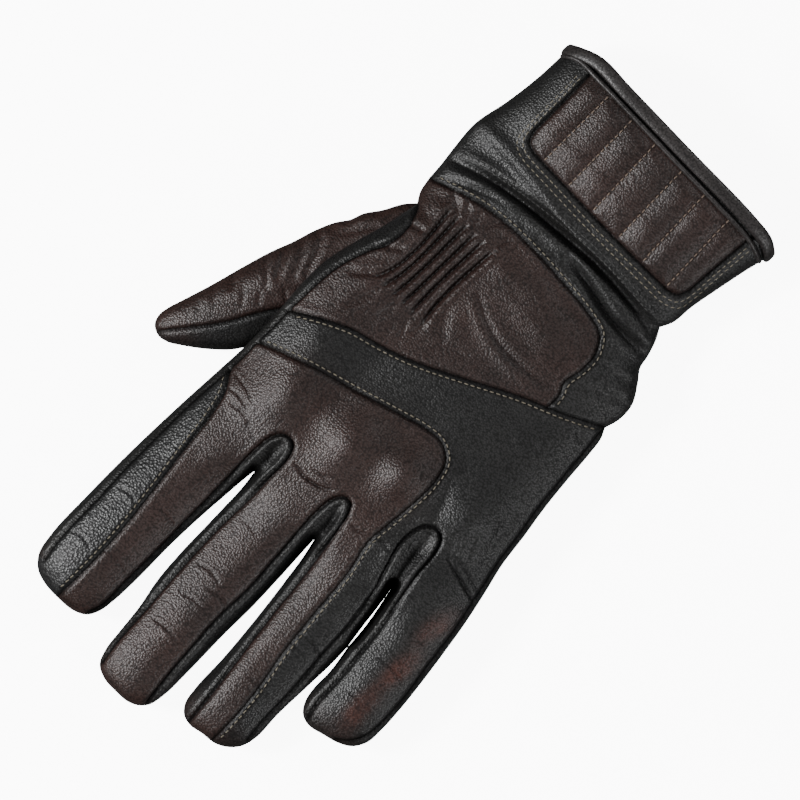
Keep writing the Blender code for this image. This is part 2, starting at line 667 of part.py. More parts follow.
def build_cuff(hand, materials):
    pivot = Vector((10.7, WRIST_BEND_Y, WRIST_BEND_Z))
    cuff = add_body("wrist_bend", pivot, hand)
    black, brown = materials["leather_black"], materials["leather_brown"]
    wall(
        "cuff_back", hand_point, spread(3, 177, 12), lambda a, depth: BACK_EDGE_Y + 1.0,
        lambda a, depth: hand_cut(a, depth, -1), 5, black, cuff,
    )
    wall(
        "cuff_palm", hand_point, spread(183, 357, 12), lambda a, depth: PALM_EDGE_Y + 3.6,
        lambda a, depth: hand_cut(a, depth, -1), 5, black, cuff,
    )

    def quilt_point(x, y, depth):
        return hand_point(hand_degrees(x, y), y, depth)

    def quilt_front(x, depth):
        """The panel's front edge, with rounded corners."""
        near_side = max(0.0, QUILT_CORNER - (x - QUILT_FROM_X), QUILT_CORNER - (QUILT_TO_X - x))
        return QUILT_FRONT_Y - QUILT_CORNER * (1 - math.sqrt(max(0.0, 1 - (near_side / QUILT_CORNER) ** 2)))

    wall(
        "quilted_panel", quilt_point, [QUILT_FROM_X, -34, -31, -27.5, -16, -4, 8, 20, 32, 36, 40, QUILT_TO_X],
        lambda x, depth: BACK_EDGE_Y + 1.0, quilt_front, 4, brown, cuff, depths=(-QUILT_PROUD, -GAP),
    )

    def binding_y(a):
        """The mouth's edge: further out on the palm than on the back."""
        below_side = (10 - a) / 20 if a < 90 else (a - 170) / 20 if a < 270 else 1
        return mix(BACK_EDGE_Y, PALM_EDGE_Y, ease(below_side))

    wall(
        "cuff_binding", hand_point, [i * 15 for i in range(24)],
        lambda a, depth: binding_y(a) - 1.4, lambda a, depth: binding_y(a) + 0.7, 1,
        materials["binding"], cuff, depths=(-1.2, LEATHER), closed_round=True,
    )
    wall(
        "cuff_lining", hand_point, [i * 15 for i in range(24)],
        lambda a, depth: binding_y(a) + 0.3, lambda a, depth: hand_cut(a, depth, -1), 4,
        materials["lining"], cuff, depths=(LINING_DEPTH, LINING_DEPTH + LINING), closed_round=True,
    )

    def slab(name, x_range, y_range, z0, z1, material, body):
        """A flat strip with rounded corners."""
        (x0, x1), (y0, y1) = x_range, y_range
        corner = 4.0
        xs = [x0, x0 + 1.2, x0 + corner, x1 - corner, x1 - 1.2, x1]

        def inset(x):
            near = max(0.0, corner - (x - x0), corner - (x1 - x)) / corner
            return corner * (1 - math.sqrt(max(0.0, 1 - near**2)))

        wall(
            name, lambda x, y, depth: Vector((x, y, mix(z0, z1, depth))), xs,
            lambda x, depth: y0 + inset(x), lambda x, depth: y1 - inset(x), 1, material, body, depths=(0.0, 1.0),
        )

    cuff_floor = hand_point(270, -100, 0).z
    pad_top = cuff_floor - GAP
    slab("cuff_loop_pad", LOOP_PAD_X, LOOP_PAD_Y, pad_top - PAD_THICK, pad_top, materials["hook_loop"], cuff)
    closure = add_body("closure_tab_bend", TAB_HINGE, cuff)
    slab("closure_tab", TAB_X, TAB_Y, 0.0, LEATHER, black, closure)
    slab(
        "closure_hook_pad", HOOK_PAD_X, HOOK_PAD_Y, LEATHER + GAP, pad_top - PAD_THICK - GAP,
        materials["hook_loop"], closure,
    )


# Assembly ----------------------------------------------------------------------------------------------------


def add_body(name, pivot, parent):
    """An empty on a bend's axis, which carries the pieces that turn about it."""
    empty = bpy.data.objects.new(name, None)
    bpy.context.scene.collection.objects.link(empty)
    empty.parent = parent
    world = Matrix.Translation(pivot * MM)
    empty.matrix_parent_inverse = Matrix.Identity(4)
    empty.matrix_basis = (parent.matrix_world.inverted() @ world) if parent else world
    bpy.context.view_layer.update()
    return empty


def make_material(name):
    colour, roughness = COLOURS[name]
    material = bpy.data.materials.new(name)
    material.use_nodes = True
    shader = material.node_tree.nodes["Principled BSDF"]
    shader.inputs["Base Color"].default_value = (*colour, 1)
    shader.inputs["Roughness"].default_value = roughness
    shader.inputs["Metallic"].default_value = 0.0
    return material


def main():
    for thing in list(bpy.data.objects):
        bpy.data.objects.remove(thing)
    materials = {name: make_material(name) for name in COLOURS}
    hand = add_body("glove", Vector((0, 0, 0)), None)
    digits = {name: build_finger(name, hand, materials) for name in FINGERS}
    thumb = build_thumb(hand, materials)
    build_hand_back(digits, hand, materials)
    build_palm(digits, thumb, hand, materials)
    build_web("web_middle_index", digits["middle"], digits["index"], WEB_Y, hand, materials)
    build_web("web_ring_middle", digits["ring"], digits["middle"], WEB_Y, hand, materials)
    build_web("web_little_ring", digits["little"], digits["ring"], WEB_LITTLE_Y, hand, materials)
    build_cuff(hand, materials)


main()
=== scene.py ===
"""The looks of the left-hand leather riding glove.

The glove is drawn from above as outlines and seams, in millimetres in the frame's own axes: the fingers
point along +Y and the thumb is on the +X side. The outline is blown up into a soft body, seams, folds and
stitches are pressed into it, and it is cut into its leather pieces.
"""

import json
import math

import bpy
import numpy as np
from mathutils import Matrix, Vector, kdtree
from mathutils.bvhtree import BVHTree
from mathutils.geometry import delaunay_2d_cdt


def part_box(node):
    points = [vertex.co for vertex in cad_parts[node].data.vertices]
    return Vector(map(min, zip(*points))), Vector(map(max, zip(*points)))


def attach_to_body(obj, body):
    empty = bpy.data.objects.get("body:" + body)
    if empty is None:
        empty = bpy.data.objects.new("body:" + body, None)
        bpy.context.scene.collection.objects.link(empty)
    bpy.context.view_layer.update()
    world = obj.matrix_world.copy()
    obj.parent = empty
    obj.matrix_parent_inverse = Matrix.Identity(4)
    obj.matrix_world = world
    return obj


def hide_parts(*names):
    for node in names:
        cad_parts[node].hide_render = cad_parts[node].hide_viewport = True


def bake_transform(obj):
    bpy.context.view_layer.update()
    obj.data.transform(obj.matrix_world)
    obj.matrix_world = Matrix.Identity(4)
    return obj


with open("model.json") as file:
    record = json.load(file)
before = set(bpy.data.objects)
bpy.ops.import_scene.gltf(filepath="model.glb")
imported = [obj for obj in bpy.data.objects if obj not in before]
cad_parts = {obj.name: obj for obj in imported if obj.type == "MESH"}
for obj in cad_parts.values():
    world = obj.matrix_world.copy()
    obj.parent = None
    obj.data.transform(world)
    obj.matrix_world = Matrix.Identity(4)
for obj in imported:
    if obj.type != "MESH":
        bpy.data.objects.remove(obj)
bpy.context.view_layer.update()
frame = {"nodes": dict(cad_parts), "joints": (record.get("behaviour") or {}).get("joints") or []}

MM = 0.001
LEATHER = 1.2  # thickness of the leather's shell
FINE = 0.75  # spacing of the mesh's points on the back of the glove
COARSE = 1.1  # the same on its palm side
FINGERS = ("index", "middle", "ring", "little")

JOINTS = {j["name"]: j for j in frame["joints"]}


def joint_at(name):
    """A joint's place, in millimetres."""
    return np.array(JOINTS[name]["pos_m"]) / MM


# Curves ---------------------------------------------------------------------------------------------


def resample(points, step):
    """The polyline's points at even spacing."""
    points = np.asarray(points, float)
    lengths = np.r_[0, np.cumsum(np.linalg.norm(np.diff(points, axis=0), axis=1))]
    count = max(2, int(round(lengths[-1] / step)) + 1)
    at = np.linspace(0, lengths[-1], count)
    return np.stack([np.interp(at, lengths, points[:, k]) for k in range(points.shape[1])], 1)


def smooth(points, step=0.7):
    """An evenly spaced polyline on the smooth curve through the points."""
    p = np.asarray(points, float)
    if len(p) == 2:
        return resample(p, step)
    chord = np.linalg.norm(np.diff(p, axis=0), axis=1)
    t = np.r_[0, np.cumsum(chord**0.7)]
    slope = np.gradient(p, t, axis=0)
    dense = []
    for i in range(len(p) - 1):
        h = t[i + 1] - t[i]
        u = np.linspace(0, 1, 24, endpoint=False)[:, None]
        dense.append(
            (1 + 2 * u) * (1 - u) ** 2 * p[i]
            + u * (1 - u) ** 2 * h * slope[i]
            + u * u * (3 - 2 * u) * p[i + 1]
            + u * u * (u - 1) * h * slope[i + 1]
        )
    dense.append(p[-1:])
    return resample(np.concatenate(dense), step)


def chain(*stretches):
    """Smooth stretches joined at corners."""
    curves = [smooth(s) for s in stretches]
    return np.concatenate([c[:-1] for c in curves[:-1]] + [curves[-1]])


def tangents(curve):
    """The unit vectors along the curve, at its points."""
    d = np.gradient(curve, axis=0)
    return d / np.maximum(np.linalg.norm(d, axis=1, keepdims=True), 1e-9)


def offset(curve, distance):
    """The curve moved to its left by distance, a number or one for each point."""
    t = tangents(curve)
    return curve + np.stack([-t[:, 1], t[:, 0]], 1) * np.reshape(distance, (-1, 1))


def along(curve):
    """How far along the curve each of its points is."""
    return np.r_[0, np.cumsum(np.linalg.norm(np.diff(curve, axis=0), axis=1))]


def nearest_on(points, curve, reach):
    """The points' distances to the curve, + on its left, and how far along the curve each is nearest.

    Points further from the curve's box than reach get a huge distance.
    """
    distance = np.full(len(points), 1e6)
    where = np.zeros(len(points))
    index = np.flatnonzero(np.all((points > curve.min(0) - reach) & (points < curve.max(0) + reach), axis=1))
    if not len(index):
        return distance, where
    tree = kdtree.KDTree(len(curve))
    for i, (x, y) in enumerate(curve):
        tree.insert((x, y, 0), i)
    tree.balance()
    start = along(curve)
    p = points[index]
    near = np.array([tree.find((x, y, 0))[1] for x, y in p.tolist()])
    best = np.full(len(p), 1e12)
    for first in (near - 1, near):
        i = np.clip(first, 0, len(curve) - 2)
        step = curve[i + 1] - curve[i]
        length2 = np.maximum((step**2).sum(1), 1e-12)
        to = p - curve[i]
        t = np.clip((to * step).sum(1) / length2, 0, 1)
        gap = to - t[:, None] * step
        d = np.hypot(gap[:, 0], gap[:, 1])
        side = np.where(step[:, 0] * gap[:, 1] - step[:, 1] * gap[:, 0] < 0, -1, 1)
        closer = d < best
        best = np.where(closer, d, best)
        distance[index[closer]] = (d * side)[closer]
        where[index[closer]] = (start[i] + t * np.sqrt(length2))[closer]
    return distance, where


def away(points, curve, reach):
    """The points' distances to the curve, on either side."""
    return np.abs(nearest_on(points, curve, reach)[0])


def away_from_all(points, curves, reach):
    """The points' distances to the nearest of the curves."""
    return np.min([away(points, curve, reach) for curve in curves], axis=0)


def closed(outline):
    """The outline with its first point again at its end."""
    return np.concatenate([outline, outline[:1]])


def inside(points, polygon):
    """Which points lie in the closed polygon."""
    order = np.argsort(points[:, 1])
    x, y = points[order, 0], points[order, 1]
    odd = np.zeros(len(points), bool)
    for (ax, ay), (bx, by) in zip(polygon, np.roll(polygon, -1, axis=0)):
        if ay == by:
            continue
        if ay > by:
            ax, ay, bx, by = bx, by, ax, ay
        i, j = np.searchsorted(y, (ay, by))
        odd[i:j] ^= x[i:j] < ax + (y[i:j] - ay) / (by - ay) * (bx - ax)
    found = np.empty(len(points), bool)
    found[order] = odd
    return found


def ease(t):
    """0 up to t = 0 and 1 from t = 1, with a soft climb between."""
    t = np.clip(t, 0, 1)
    return t * t * (3 - 2 * t)


def bilinear(field, cell, part):
    """The field's value in a cell, a part of the way across it."""
    i, j = cell.T
    u, v = part.T
    low = field[i, j] * (1 - u) + field[i + 1, j] * u
    return low * (1 - v) + (field[i, j + 1] * (1 - u) + field[i + 1, j + 1] * u) * v


def lookup(table, at):
    """The value at a station of a table of (station, value), on straight runs eased at their ends."""
    table = sorted(table)
    xs, ys = np.array([t[0] for t in table], float), np.array([t[1] for t in table], float)
    i = np.clip(np.searchsorted(xs, at) - 1, 0, len(xs) - 2)
    u = np.clip((at - xs[i]) / (xs[i + 1] - xs[i]), 0, 1)
    return ys[i] + (ys[i + 1] - ys[i]) * ease(u)


# The glove from above -------------------------------------------------------------------------------

CUFF_BEYOND = -150.0  # the outline runs on past the cuff's mouth, so that the cuff stays open there

OUTLINE = chain(
    [(53.5, CUFF_BEYOND), (54.5, -122), (55, -107), (56.5, -94), (59, -80), (58.2, -70), (57, -61),
     (56.6, -55.5)],
    [(56.6, -55.5), (55.4, -50), (53, -46)],
    [(53, -46), (55.8, -32), (59, -20), (61.3, -9), (61.4, 2), (60.4, 14), (59.7, 30), (60.2, 44), (61, 62),
     (61.5, 86), (61.2, 108), (60.4, 126), (58.6, 134), (55, 138), (50, 139.7), (43, 140), (36, 139.2),
     (32, 137), (29.9, 133), (29, 127), (28.7, 117), (29, 98), (28.4, 80), (27.5, 69), (26.5, 60)],
    [(26.5, 60), (25.2, 69), (24.5, 82), (23.9, 99), (22.8, 111), (20.6, 122), (19.3, 133), (18.2, 141),
     (16, 146), (11.5, 148.2), (5.5, 148.5), (0, 148), (-3.3, 146.4), (-5.7, 143.6), (-6.9, 138), (-7, 126),
     (-6.5, 108), (-6.5, 93), (-5.9, 80), (-5.2, 62)],
    [(-5.2, 62), (-7.5, 72), (-10, 88), (-11.6, 101), (-12.8, 114), (-13.5, 128), (-14.8, 134.4),
     (-17.5, 137.4), (-21, 138.2), (-26, 137.3), (-32, 136.4), (-36, 134), (-38.7, 130.7), (-40.1, 125.5),
     (-39.7, 114), (-40, 99), (-40.2, 87), (-39.3, 73), (-37.5, 61), (-36.2, 54)],
    [(-36.2, 54), (-38.1, 64), (-40.3, 78), (-42.3, 90), (-42.6, 99), (-43.8, 104), (-46.3, 107.4),
     (-50, 108.6), (-56, 107.3), (-62, 105.5), (-66, 103), (-68.6, 98.5), (-69, 92), (-68.4, 82),
     (-67.1, 71), (-65, 57), (-62.7, 44), (-60, 32), (-57.3, 21), (-55.6, 9), (-53.6, -3), (-52.1, -16),
     (-51, -28), (-50, -34.5), (-48.3, -38)],
    [(-48.3, -38), (-49.8, -44), (-49.2, -50.5), (-45.3, -57), (-42, -61.5), (-41, -66), (-39, -72),
     (-36.6, -76.4)],
    [(-36.6, -76.4), (-38.7, -81), (-39.4, -89), (-41.3, -100), (-43.4, -111), (-45.6, -121),
     (-47.5, CUFF_BEYOND)],
)

SPARE = 0.35  # the leather swells this far past its drawn outline, but not where two fingers part
FORKS = ((26.5, 60), (-5.2, 62), (-36.2, 54))
TO_FORK = np.min([np.hypot(*(OUTLINE - fork).T) for fork in FORKS], axis=0)
OUTLINE = offset(OUTLINE, -SPARE * np.clip((TO_FORK - 4) / 12, 0, 1))

# The cord sewn across the cuff's back, and the edge of the mouth beyond it
CORD = smooth([(-62, -112), (-46.5, -116.6), (-38, -119.4), (-20, -120.2), (0, -120.4), (20, -120.8),
               (40, -121.2), (50, -121), (56, -117.5), (66, -113)])
MOUTH = smooth([(-62, -116), (-46.8, -120.4), (-42, -123.4), (-34, -124.3), (0, -124.6), (30, -125),
                (45, -125.2), (53, -122), (66, -115)])

# Seams on the back
OUTSEAM = smooth([(56, 134.5), (57.6, 125), (58.3, 108), (59.2, 88), (59.3, 60), (58.3, 41), (58, 20),
                  (58.2, 4), (57.3, -10), (53.5, -22.5), (50.2, -30), (49.6, -36), (51, -42), (53, -46)])
INDEX_SPLIT = smooth([(43.5, 140), (43.3, 129), (44, 111), (46.3, 91), (49.3, 71), (51.5, 56), (54, 47.5),
                      (58.2, 41)])
LOOP_INDEX_MIDDLE = smooth([(32, 137), (30.3, 132), (30, 120), (30.3, 95), (31, 70), (31.5, 56), (30.8, 47.5),
                            (28.8, 43.9), (26, 42.9), (23.2, 44.3), (21.5, 48.5), (21.2, 58), (21.3, 88),
                            (20.2, 107), (18.6, 126), (17.4, 140), (16, 146)])
LOOP_MIDDLE_RING = smooth([(-5, 144), (-4, 136), (-2.7, 124), (-1.3, 106), (-1.5, 90), (0, 70), (1, 53),
                           (0.2, 47), (-2, 43.7), (-4.7, 43.8), (-7, 47.3), (-8.6, 54), (-11, 70),
                           (-13.5, 90), (-16, 108), (-18.6, 126), (-20, 138)])
LOOP_RING_LITTLE = smooth([(-39.3, 128), (-38.3, 116), (-37.5, 102), (-36, 87), (-34.6, 70), (-33, 61),
                           (-29.6, 50), (-27.4, 42), (-27.4, 35.5), (-29.2, 30.6), (-32.5, 28.6),
                           (-35.8, 30.2), (-37.8, 35), (-39, 45), (-42, 60), (-44.4, 75), (-46, 93),
                           (-46.8, 102), (-48.5, 108.3)])
KNUCKLE_SPLIT = smooth([(-30.3, 137), (-30.2, 129), (-28.7, 113), (-25.6, 97), (-23.8, 82), (-21.7, 62),
                        (-18.8, 48), (-19.4, 40), (-20.3, 28), (-20, 17), (-17.8, 10), (-12.5, 6.6),
                        (-5, 7), (6, 10.2), (24, 15.8), (44, 22), (58.1, 27.7)])
BAND = smooth([(58.2, 12), (50, 7), (38, 1), (27, -2.2), (14, -7), (-3, -15.6), (-20, -24.5), (-36, -31.5),
               (-48.3, -38)])
WRIST_EDGE = smooth([(-29.4, -28.6), (-29, -35), (-27.2, -38.5), (-28.3, -47), (-27.6, -54), (-23.5, -59.6),
                     (-16, -61.6), (0, -63), (16, -63.6), (32, -62.6), (46, -59.2), (56.6, -55.5)])
LITTLE_OUTER = smooth([(-60, 106), (-64.5, 102.5), (-67.2, 97), (-67.9, 91), (-67.2, 80), (-65.8, 70),
                       (-63.6, 56), (-61.5, 44), (-58.6, 31), (-56, 20), (-54.4, 9), (-52.5, -3),
                       (-51, -16), (-49.9, -28), (-48.3, -38)])
QUILT = chain(
    [(-37.5, -126), (-35.6, -100), (-35.4, -92.5)],
    [(-35.4, -92.5), (-33.5, -88.4), (-29.5, -86.9)],
    [(-29.5, -86.9), (2, -86.5), (37.5, -87.3)],
    [(37.5, -87.3), (41.3, -88.8), (42.8, -93)],
    [(42.8, -93), (42.9, -110), (43.5, -126)],
)
QUILT_LINES = [smooth([(x0, -87.2), ((x0 + x1) / 2, -104), (x1, -122)]) for x0, x1 in
               ((-28.3, -26.8), (-16.2, -14.6), (-4.4, -3.2), (8.6, 10.0), (20.8, 21.6), (33, 33.2))]

CUFF_LINE = -82.0  # the seam round the wrist, from the cuff
LOOPS = (LOOP_INDEX_MIDDLE, LOOP_MIDDLE_RING, LOOP_RING_LITTLE)
SEAMS = (OUTSEAM, INDEX_SPLIT, *LOOPS, KNUCKLE_SPLIT, BAND, WRIST_EDGE, LITTLE_OUTER, QUILT)
TOPSTITCHES = [offset(curve, beside)[4:-4] for curve, beside in
               ((INDEX_SPLIT, 1.6), (KNUCKLE_SPLIT, -1.5), (BAND, -1.6), (WRIST_EDGE, -1.7))]
# Two rows of stitches run along this, beside the quilts
TWIN_ROW = smooth([(-30, -78), (-12, -78.8), (4, -78.4), (22, -76.6), (40, -73.6), (55, -70)])

# Where one finger ends and the next begins
BETWEEN = (
    smooth([(26.5, 40), (26.5, 60), (26.4, 150)]),
    smooth([(-4.6, 40), (-5.2, 62), (-6.4, 70), (-8, 84), (-9, 100), (-10.2, 150)]),
    smooth([(-32.4, 26), (-33.5, 40), (-36.2, 54), (-38.9, 67), (-40.3, 79), (-41.3, 92), (-41.5, 101),
            (-43, 150)]),
)
ROOT_CUT = {"index": 49.0, "middle": 49.0, "ring": 49.0, "little": 42.0}  # the y where the hand ends
TIP_Y = {"index": 140.0, "middle": 148.5, "ring": 138.2, "little": 108.6}
# The x that parts a finger's two side strips on the palm side, along y
FINGER_MIDDLE = {"middle": [(50, 10), (150, 6)], "ring": [(50, -22), (140, -27)]}
HOLLOW_FROM = (46, 47, 33)  # the y where the hollow between two fingers begins, by the loops
FOURCHETTE = 4.2  # how far a side strip reaches in on the palm side
PARTS = ("hand", "base", "middle", "tip")

# Creases across the back of the hand and the fingers: points, depth and width
CREASES = [
    ([(-27, -35.2), (-20, -32.8), (-12, -31.8), (-6, -31.8), (1.8, -32.8), (10, -35.6),
      (17, -40)], 0.6, 1.25),
    ([(2, 45), (7, 47.6), (12, 48.8), (19, 48)], 0.95, 0.5),
    ([(6, 43), (10, 44.6), (14, 44.8)], 0.45, 0.45),
    ([(38, 50.5), (44, 48.6), (50, 49.6)], 0.4, 0.5),
    ([(43, 46.6), (49, 45.4), (54, 46)], 0.45, 0.45),
    ([(45, 43), (50, 41.6), (56, 41)], 0.4, 0.45),
    ([(-18, 46.5), (-14, 48.8), (-10, 49)], 0.6, 0.5),
    ([(-27.5, 46), (-22, 45.6), (-19, 48)], 0.7, 0.5),
    ([(-61, 37.5), (-52, 35.5), (-45, 34), (-40, 32)], 0.8, 0.55),
    ([(-58, 33), (-50, 31.5), (-42, 30)], 0.4, 0.5),
    ([(-0.5, 100.6), (4, 99.6), (9, 100.4)], 0.6, 0.5),
    ([(6, 96.6), (12, 95.4), (18, 96.8)], 0.45, 0.5),
    ([(2, 107), (8, 106.4), (14, 108)], 0.35, 0.5),
    ([(1, 121.6), (8, 120.4), (15, 121.4)], 0.6, 0.5),
    ([(9, 75.4), (14, 74.6), (19, 75.6)], 0.25, 0.6),
    ([(-37, 89.4), (-31, 88.2), (-24, 88.8)], 0.5, 0.5),
    ([(-33, 93.4), (-28, 92.6), (-23, 93)], 0.3, 0.5),
    ([(-34, 112.6), (-29, 111.4), (-23, 112)], 0.4, 0.5),
    ([(-64, 75.4), (-57, 74.2), (-50, 75)], 0.55, 0.5),
    ([(-63, 91.2), (-57, 90), (-51, 91)], 0.35, 0.5),
    ([(-60, 61), (-55, 60.2), (-49, 61)], 0.25, 0.5),
    ([(32, 93.8), (38, 92.6), (43, 93.4)], 0.4, 0.5),
    ([(46, 98), (51, 96.6), (56, 97.6)], 0.4, 0.5),
    ([(33, 117), (39, 116), (45, 117)], 0.35, 0.5),
    ([(47, 120), (52, 119), (57, 120.4)], 0.35, 0.5),
]

# Knuckles and other soft bulges of the back: place, height, half width, half length and turn
BULGES = [(10, 29, 5.2, 10.5, 13, 0), (38, 33, 4.6, 10.5, 12, 0), (-11, 23, 5.2, 9, 11, -10),
          (-38, 18, 2.8, 8, 12, 10), (-8, -48, 1.3, 24, 11, -6), (9, -79.6, 2.3, 42, 2.6, -2),
          (43, 12, 1.9, 10, 8, 20), (-42, -70.5, 0.8, 12, 3, 0), (-18, 95, 1.1, 4.5, 38, 8),
          (4.5, 100, 0.6, 6, 38, 2)]

# Folds on the back of the hand and at the wrist
BACK_FOLDS = [
    ([(-27, -32.2), (-20, -29.8), (-12, -28.8), (-6, -28.8), (1.8, -29.8), (10, -32.6),
      (16.5, -36.6)], -0.45, 2.2),
    ([(-40.5, -66.5), (-30, -65.8), (-20, -66.6), (-8, -69), (6, -71)], 2.6, 1.5),
    ([(-36, -73.6), (-22, -75.4), (-6, -76), (10, -74.8), (28, -72.8), (44, -69.6), (57.5, -65)], 3.6, 1.75),
    ([(-47, -50), (-40, -46), (-33, -44.5)], 0.8, 1.4),
    ([(-47, -57), (-40, -54), (-32, -53)], 0.7, 1.5),
    ([(-42, -33), (-44, -30), (-47, -28)], 0.6, 1.4),
    ([(54, -58), (47, -62), (38, -66), (28, -68.5)], 0.8, 1.2),
    ([(-36, -79.5), (-20, -81), (0, -81.5), (20, -80.8)], 0.7, 1.2),
    ([(24, -8), (22, -14), (21, -19)], 0.6, 1.2),
    ([(36, -5), (34, -12), (33, -18)], 0.7, 1.2),
    ([(46, -2), (43, -9), (41, -17)], 0.8, 1.3),
    ([(53, -12), (48, -17), (44.5, -22)], 0.8, 1.2),
    ([(54, -24), (50, -28), (45, -32)], 0.7, 1.1),
    ([(52, -38), (48, -40), (44, -41)], 0.7, 1.1),
    ([(24, -54), (23, -57), (21, -61)], 0.5, 1.0),
    ([(34, -54), (35, -57), (35, -61)], 0.6, 1.0),
    ([(41, -53), (44, -56), (48, -58)], 0.7, 1.0),
    ([(20, -30), (17, -24), (12, -17)], 0.35, 2.0),
    ([(14, -12), (9, -18), (2, -22)], 0.3, 1.8),
    ([(-24, -14), (-30, -10), (-38, -9)], 0.3, 2.0),
    ([(-22, 12), (-27, 20), (-30, 28)], 0.5, 2.2),
    ([(-47, 2), (-49, 14), (-52, 26)], 0.6, 2.0),
    ([(-44, 34), (-42, 28), (-38, 23)], 0.5, 1.0),
    ([(-48, 30), (-45, 24), (-41, 19)], 0.4, 1.0),
    ([(27, -16), (25, -11), (24, -6)], 0.5, 1.0),
    ([(31, -56), (30, -60), (27, -63)], 0.5, 1.0),
    ([(38, -55), (40, -58), (42, -61)], 0.5, 1.0),
]

SHIRRING = [smooth([(x + top, -17.5), (x + top * 0.3, -24), (x, -34), (x + low, -53)]) for x, top, low in
            ((23.7, -1.6, -0.8), (28, -0.6, -0.4), (31.6, 0.2, 0), (35.4, 1.0, 0.3), (39, 2.0, 0.8),
             (42, 3.4, 1.6))]


def x_at(curve, y):
    """The curve's x at each y, for a curve that climbs or falls all the way."""
    order = np.argsort(curve[:, 1])
    return np.interp(y, curve[order, 1], curve[order, 0])


def y_at(curve, x):
    """The curve's y at each x, for a curve that goes left or right all the way."""
    order = np.argsort(curve[:, 0])
    return np.interp(x, curve[order, 0], curve[order, 1])


def finger_of(p):
    """0 to 3 for the index to the little finger, by the lines between them."""
    return sum((p[:, 0] < x_at(line, p[:, 1])).astype(int) for line in BETWEEN)


def cuts_of(name):
    """Where a finger's pieces end: its root, between its bends, and past its tip."""
    bends = [joint_at(f"{name}_{part}_bend")[1] for part in ("base", "middle", "tip")]
    return [ROOT_CUT[name], (bends[0] + bends[1]) / 2, (bends[1] + bends[2]) / 2, 1e3]


def palm_seam():
    """The palm leather's edge: the outline, moved in along the side strips between the fingers."""
    p = OUTLINE
    finger = finger_of(p + tangents(p)[:, ::-1] * (-1, 1) * 1.0)
    moved = np.zeros(len(p))
    for i, name in enumerate(FINGERS):
        strip = ease((TIP_Y[name] - 5 - p[:, 1]) / 16) * ease((p[:, 1] - 50) / 4)
        facing = {"index": p[:, 0] < 40, "little": p[:, 0] > -55}.get(name, p[:, 1] > 0)
        moved = np.where((finger == i) & facing, strip * FOURCHETTE, moved)
    moved[moved < 0.4] = 0
    return offset(p, moved)


# Blowing the outline up -----------------------------------------------------------------------------


HAND_SPREAD, THUMB_SPREAD = 18.0, 14.0  # how far in from the outline the body still gets fuller
RIM_CALM = 1.4  # seams and folds fade out this near the outline
SEAM_SHADE = 0.62  # how far the painted shade of a seam spreads


class Puff:
    """A soft body over an outline: fullness() is 0 on the outline, and up to 1 far inside."""

    def __init__(self, outline, width, cell=0.7):
        self.outline, self.width = outline, width
        self.low = outline.min(0) - 4
        size = outline.max(0) + 4 - self.low
        spread = None
        for level, rounds in ((4, 1600), (2, 260), (1, 260)):  # from a coarse grid to the fine one
            h = cell * level
            shape = tuple(np.ceil(size / h).astype(int) + 1)
            xs, ys = self.low[0] + h * np.arange(shape[0]), self.low[1] + h * np.arange(shape[1])
            cells = np.stack(np.meshgrid(xs, ys, indexing="ij"), -1).reshape(-1, 2)
            mask = inside(cells, outline).reshape(shape)
            if spread is None:
                spread = np.zeros(shape)
            else:
                i = np.clip((xs - self.low[0]) / (2 * h), 0, spread.shape[0] - 1).round().astype(int)
                j = np.clip((ys - self.low[1]) / (2 * h), 0, spread.shape[1] - 1).round().astype(int)
                spread = spread[np.ix_(i, j)]
            spread = self.relax(spread * mask, mask, (h / width) ** 2, rounds)
        self.cell = cell
        distance = away(cells, outline, 6).reshape(shape)
        known = mask & (distance > 1.6)
        ratio = np.where(known, spread / np.maximum(distance, 0.1), 0)
        self.spread = spread
        self.ratio = self.fill(ratio, known)

    @staticmethod
    def relax(field, mask, pull, rounds):
        """Lets the field settle, like a skin that is blown up by pull."""
        for _ in range(rounds):
            around = np.zeros_like(field)
            around[1:-1, 1:-1] = field[2:, 1:-1] + field[:-2, 1:-1] + field[1:-1, 2:] + field[1:-1, :-2]
            field = np.where(mask, (around + pull) / (4 + pull), 0)
        return field

    @staticmethod
    def fill(field, known):
        """Carries the known values outwards."""
        field, known = field.copy(), known.copy()
        for _ in range(14):
            total = np.zeros_like(field)
            count = np.zeros_like(field)
            for axis in (0, 1):
                for step in (1, -1):
                    total += np.roll(field * known, step, axis)
                    count += np.roll(known.astype(float), step, axis)
            new = ~known & (count > 0)
            field[new] = total[new] / count[new]
            known |= new
        for _ in range(3):
            beside = [np.roll(field, way, axis) for axis in (0, 1) for way in (1, -1)]
            field = sum(beside, field) / 5
        return field

    def sample(self, field, p):
        """The field's values at the points."""
        g = (p - self.low) / self.cell
        i = np.clip(np.floor(g).astype(int), 0, np.array(field.shape) - 2)
        return bilinear(field, i, np.clip(g - i, 0, 1))

    def fullness(self, p):
        distance = away(p, self.outline, 10)
        near = np.minimum(distance, 60) * self.sample(self.ratio, p)
        deep = self.sample(self.spread, p)
        return np.sqrt(np.maximum(np.where(distance < 5, near, deep), 0))


# Meshing --------------------------------------------------------------------------------------------


def thin_out(points, taken, radius):
    """The points that keep radius from the ones already taken."""
    if not len(points):
        return points
    tree = kdtree.KDTree(len(taken))
    for i, (x, y) in enumerate(taken.tolist()):
        tree.insert((x, y, 0), i)
    tree.balance()
    keep = [tree.find((x, y, 0))[2] > radius for x, y in points.tolist()]
    return points[np.array(keep)]


RIM_ROWS = (0.16, 0.5, 1.05, 1.8)  # rows of points inside an outline, closer together towards it
RIB_ROWS = (0, 0.5, -0.5, 1.15, -1.15)  # rows of points along a seam, a crease or a row of stitches
RIB_GAP = 0.33  # how far these points keep from the others


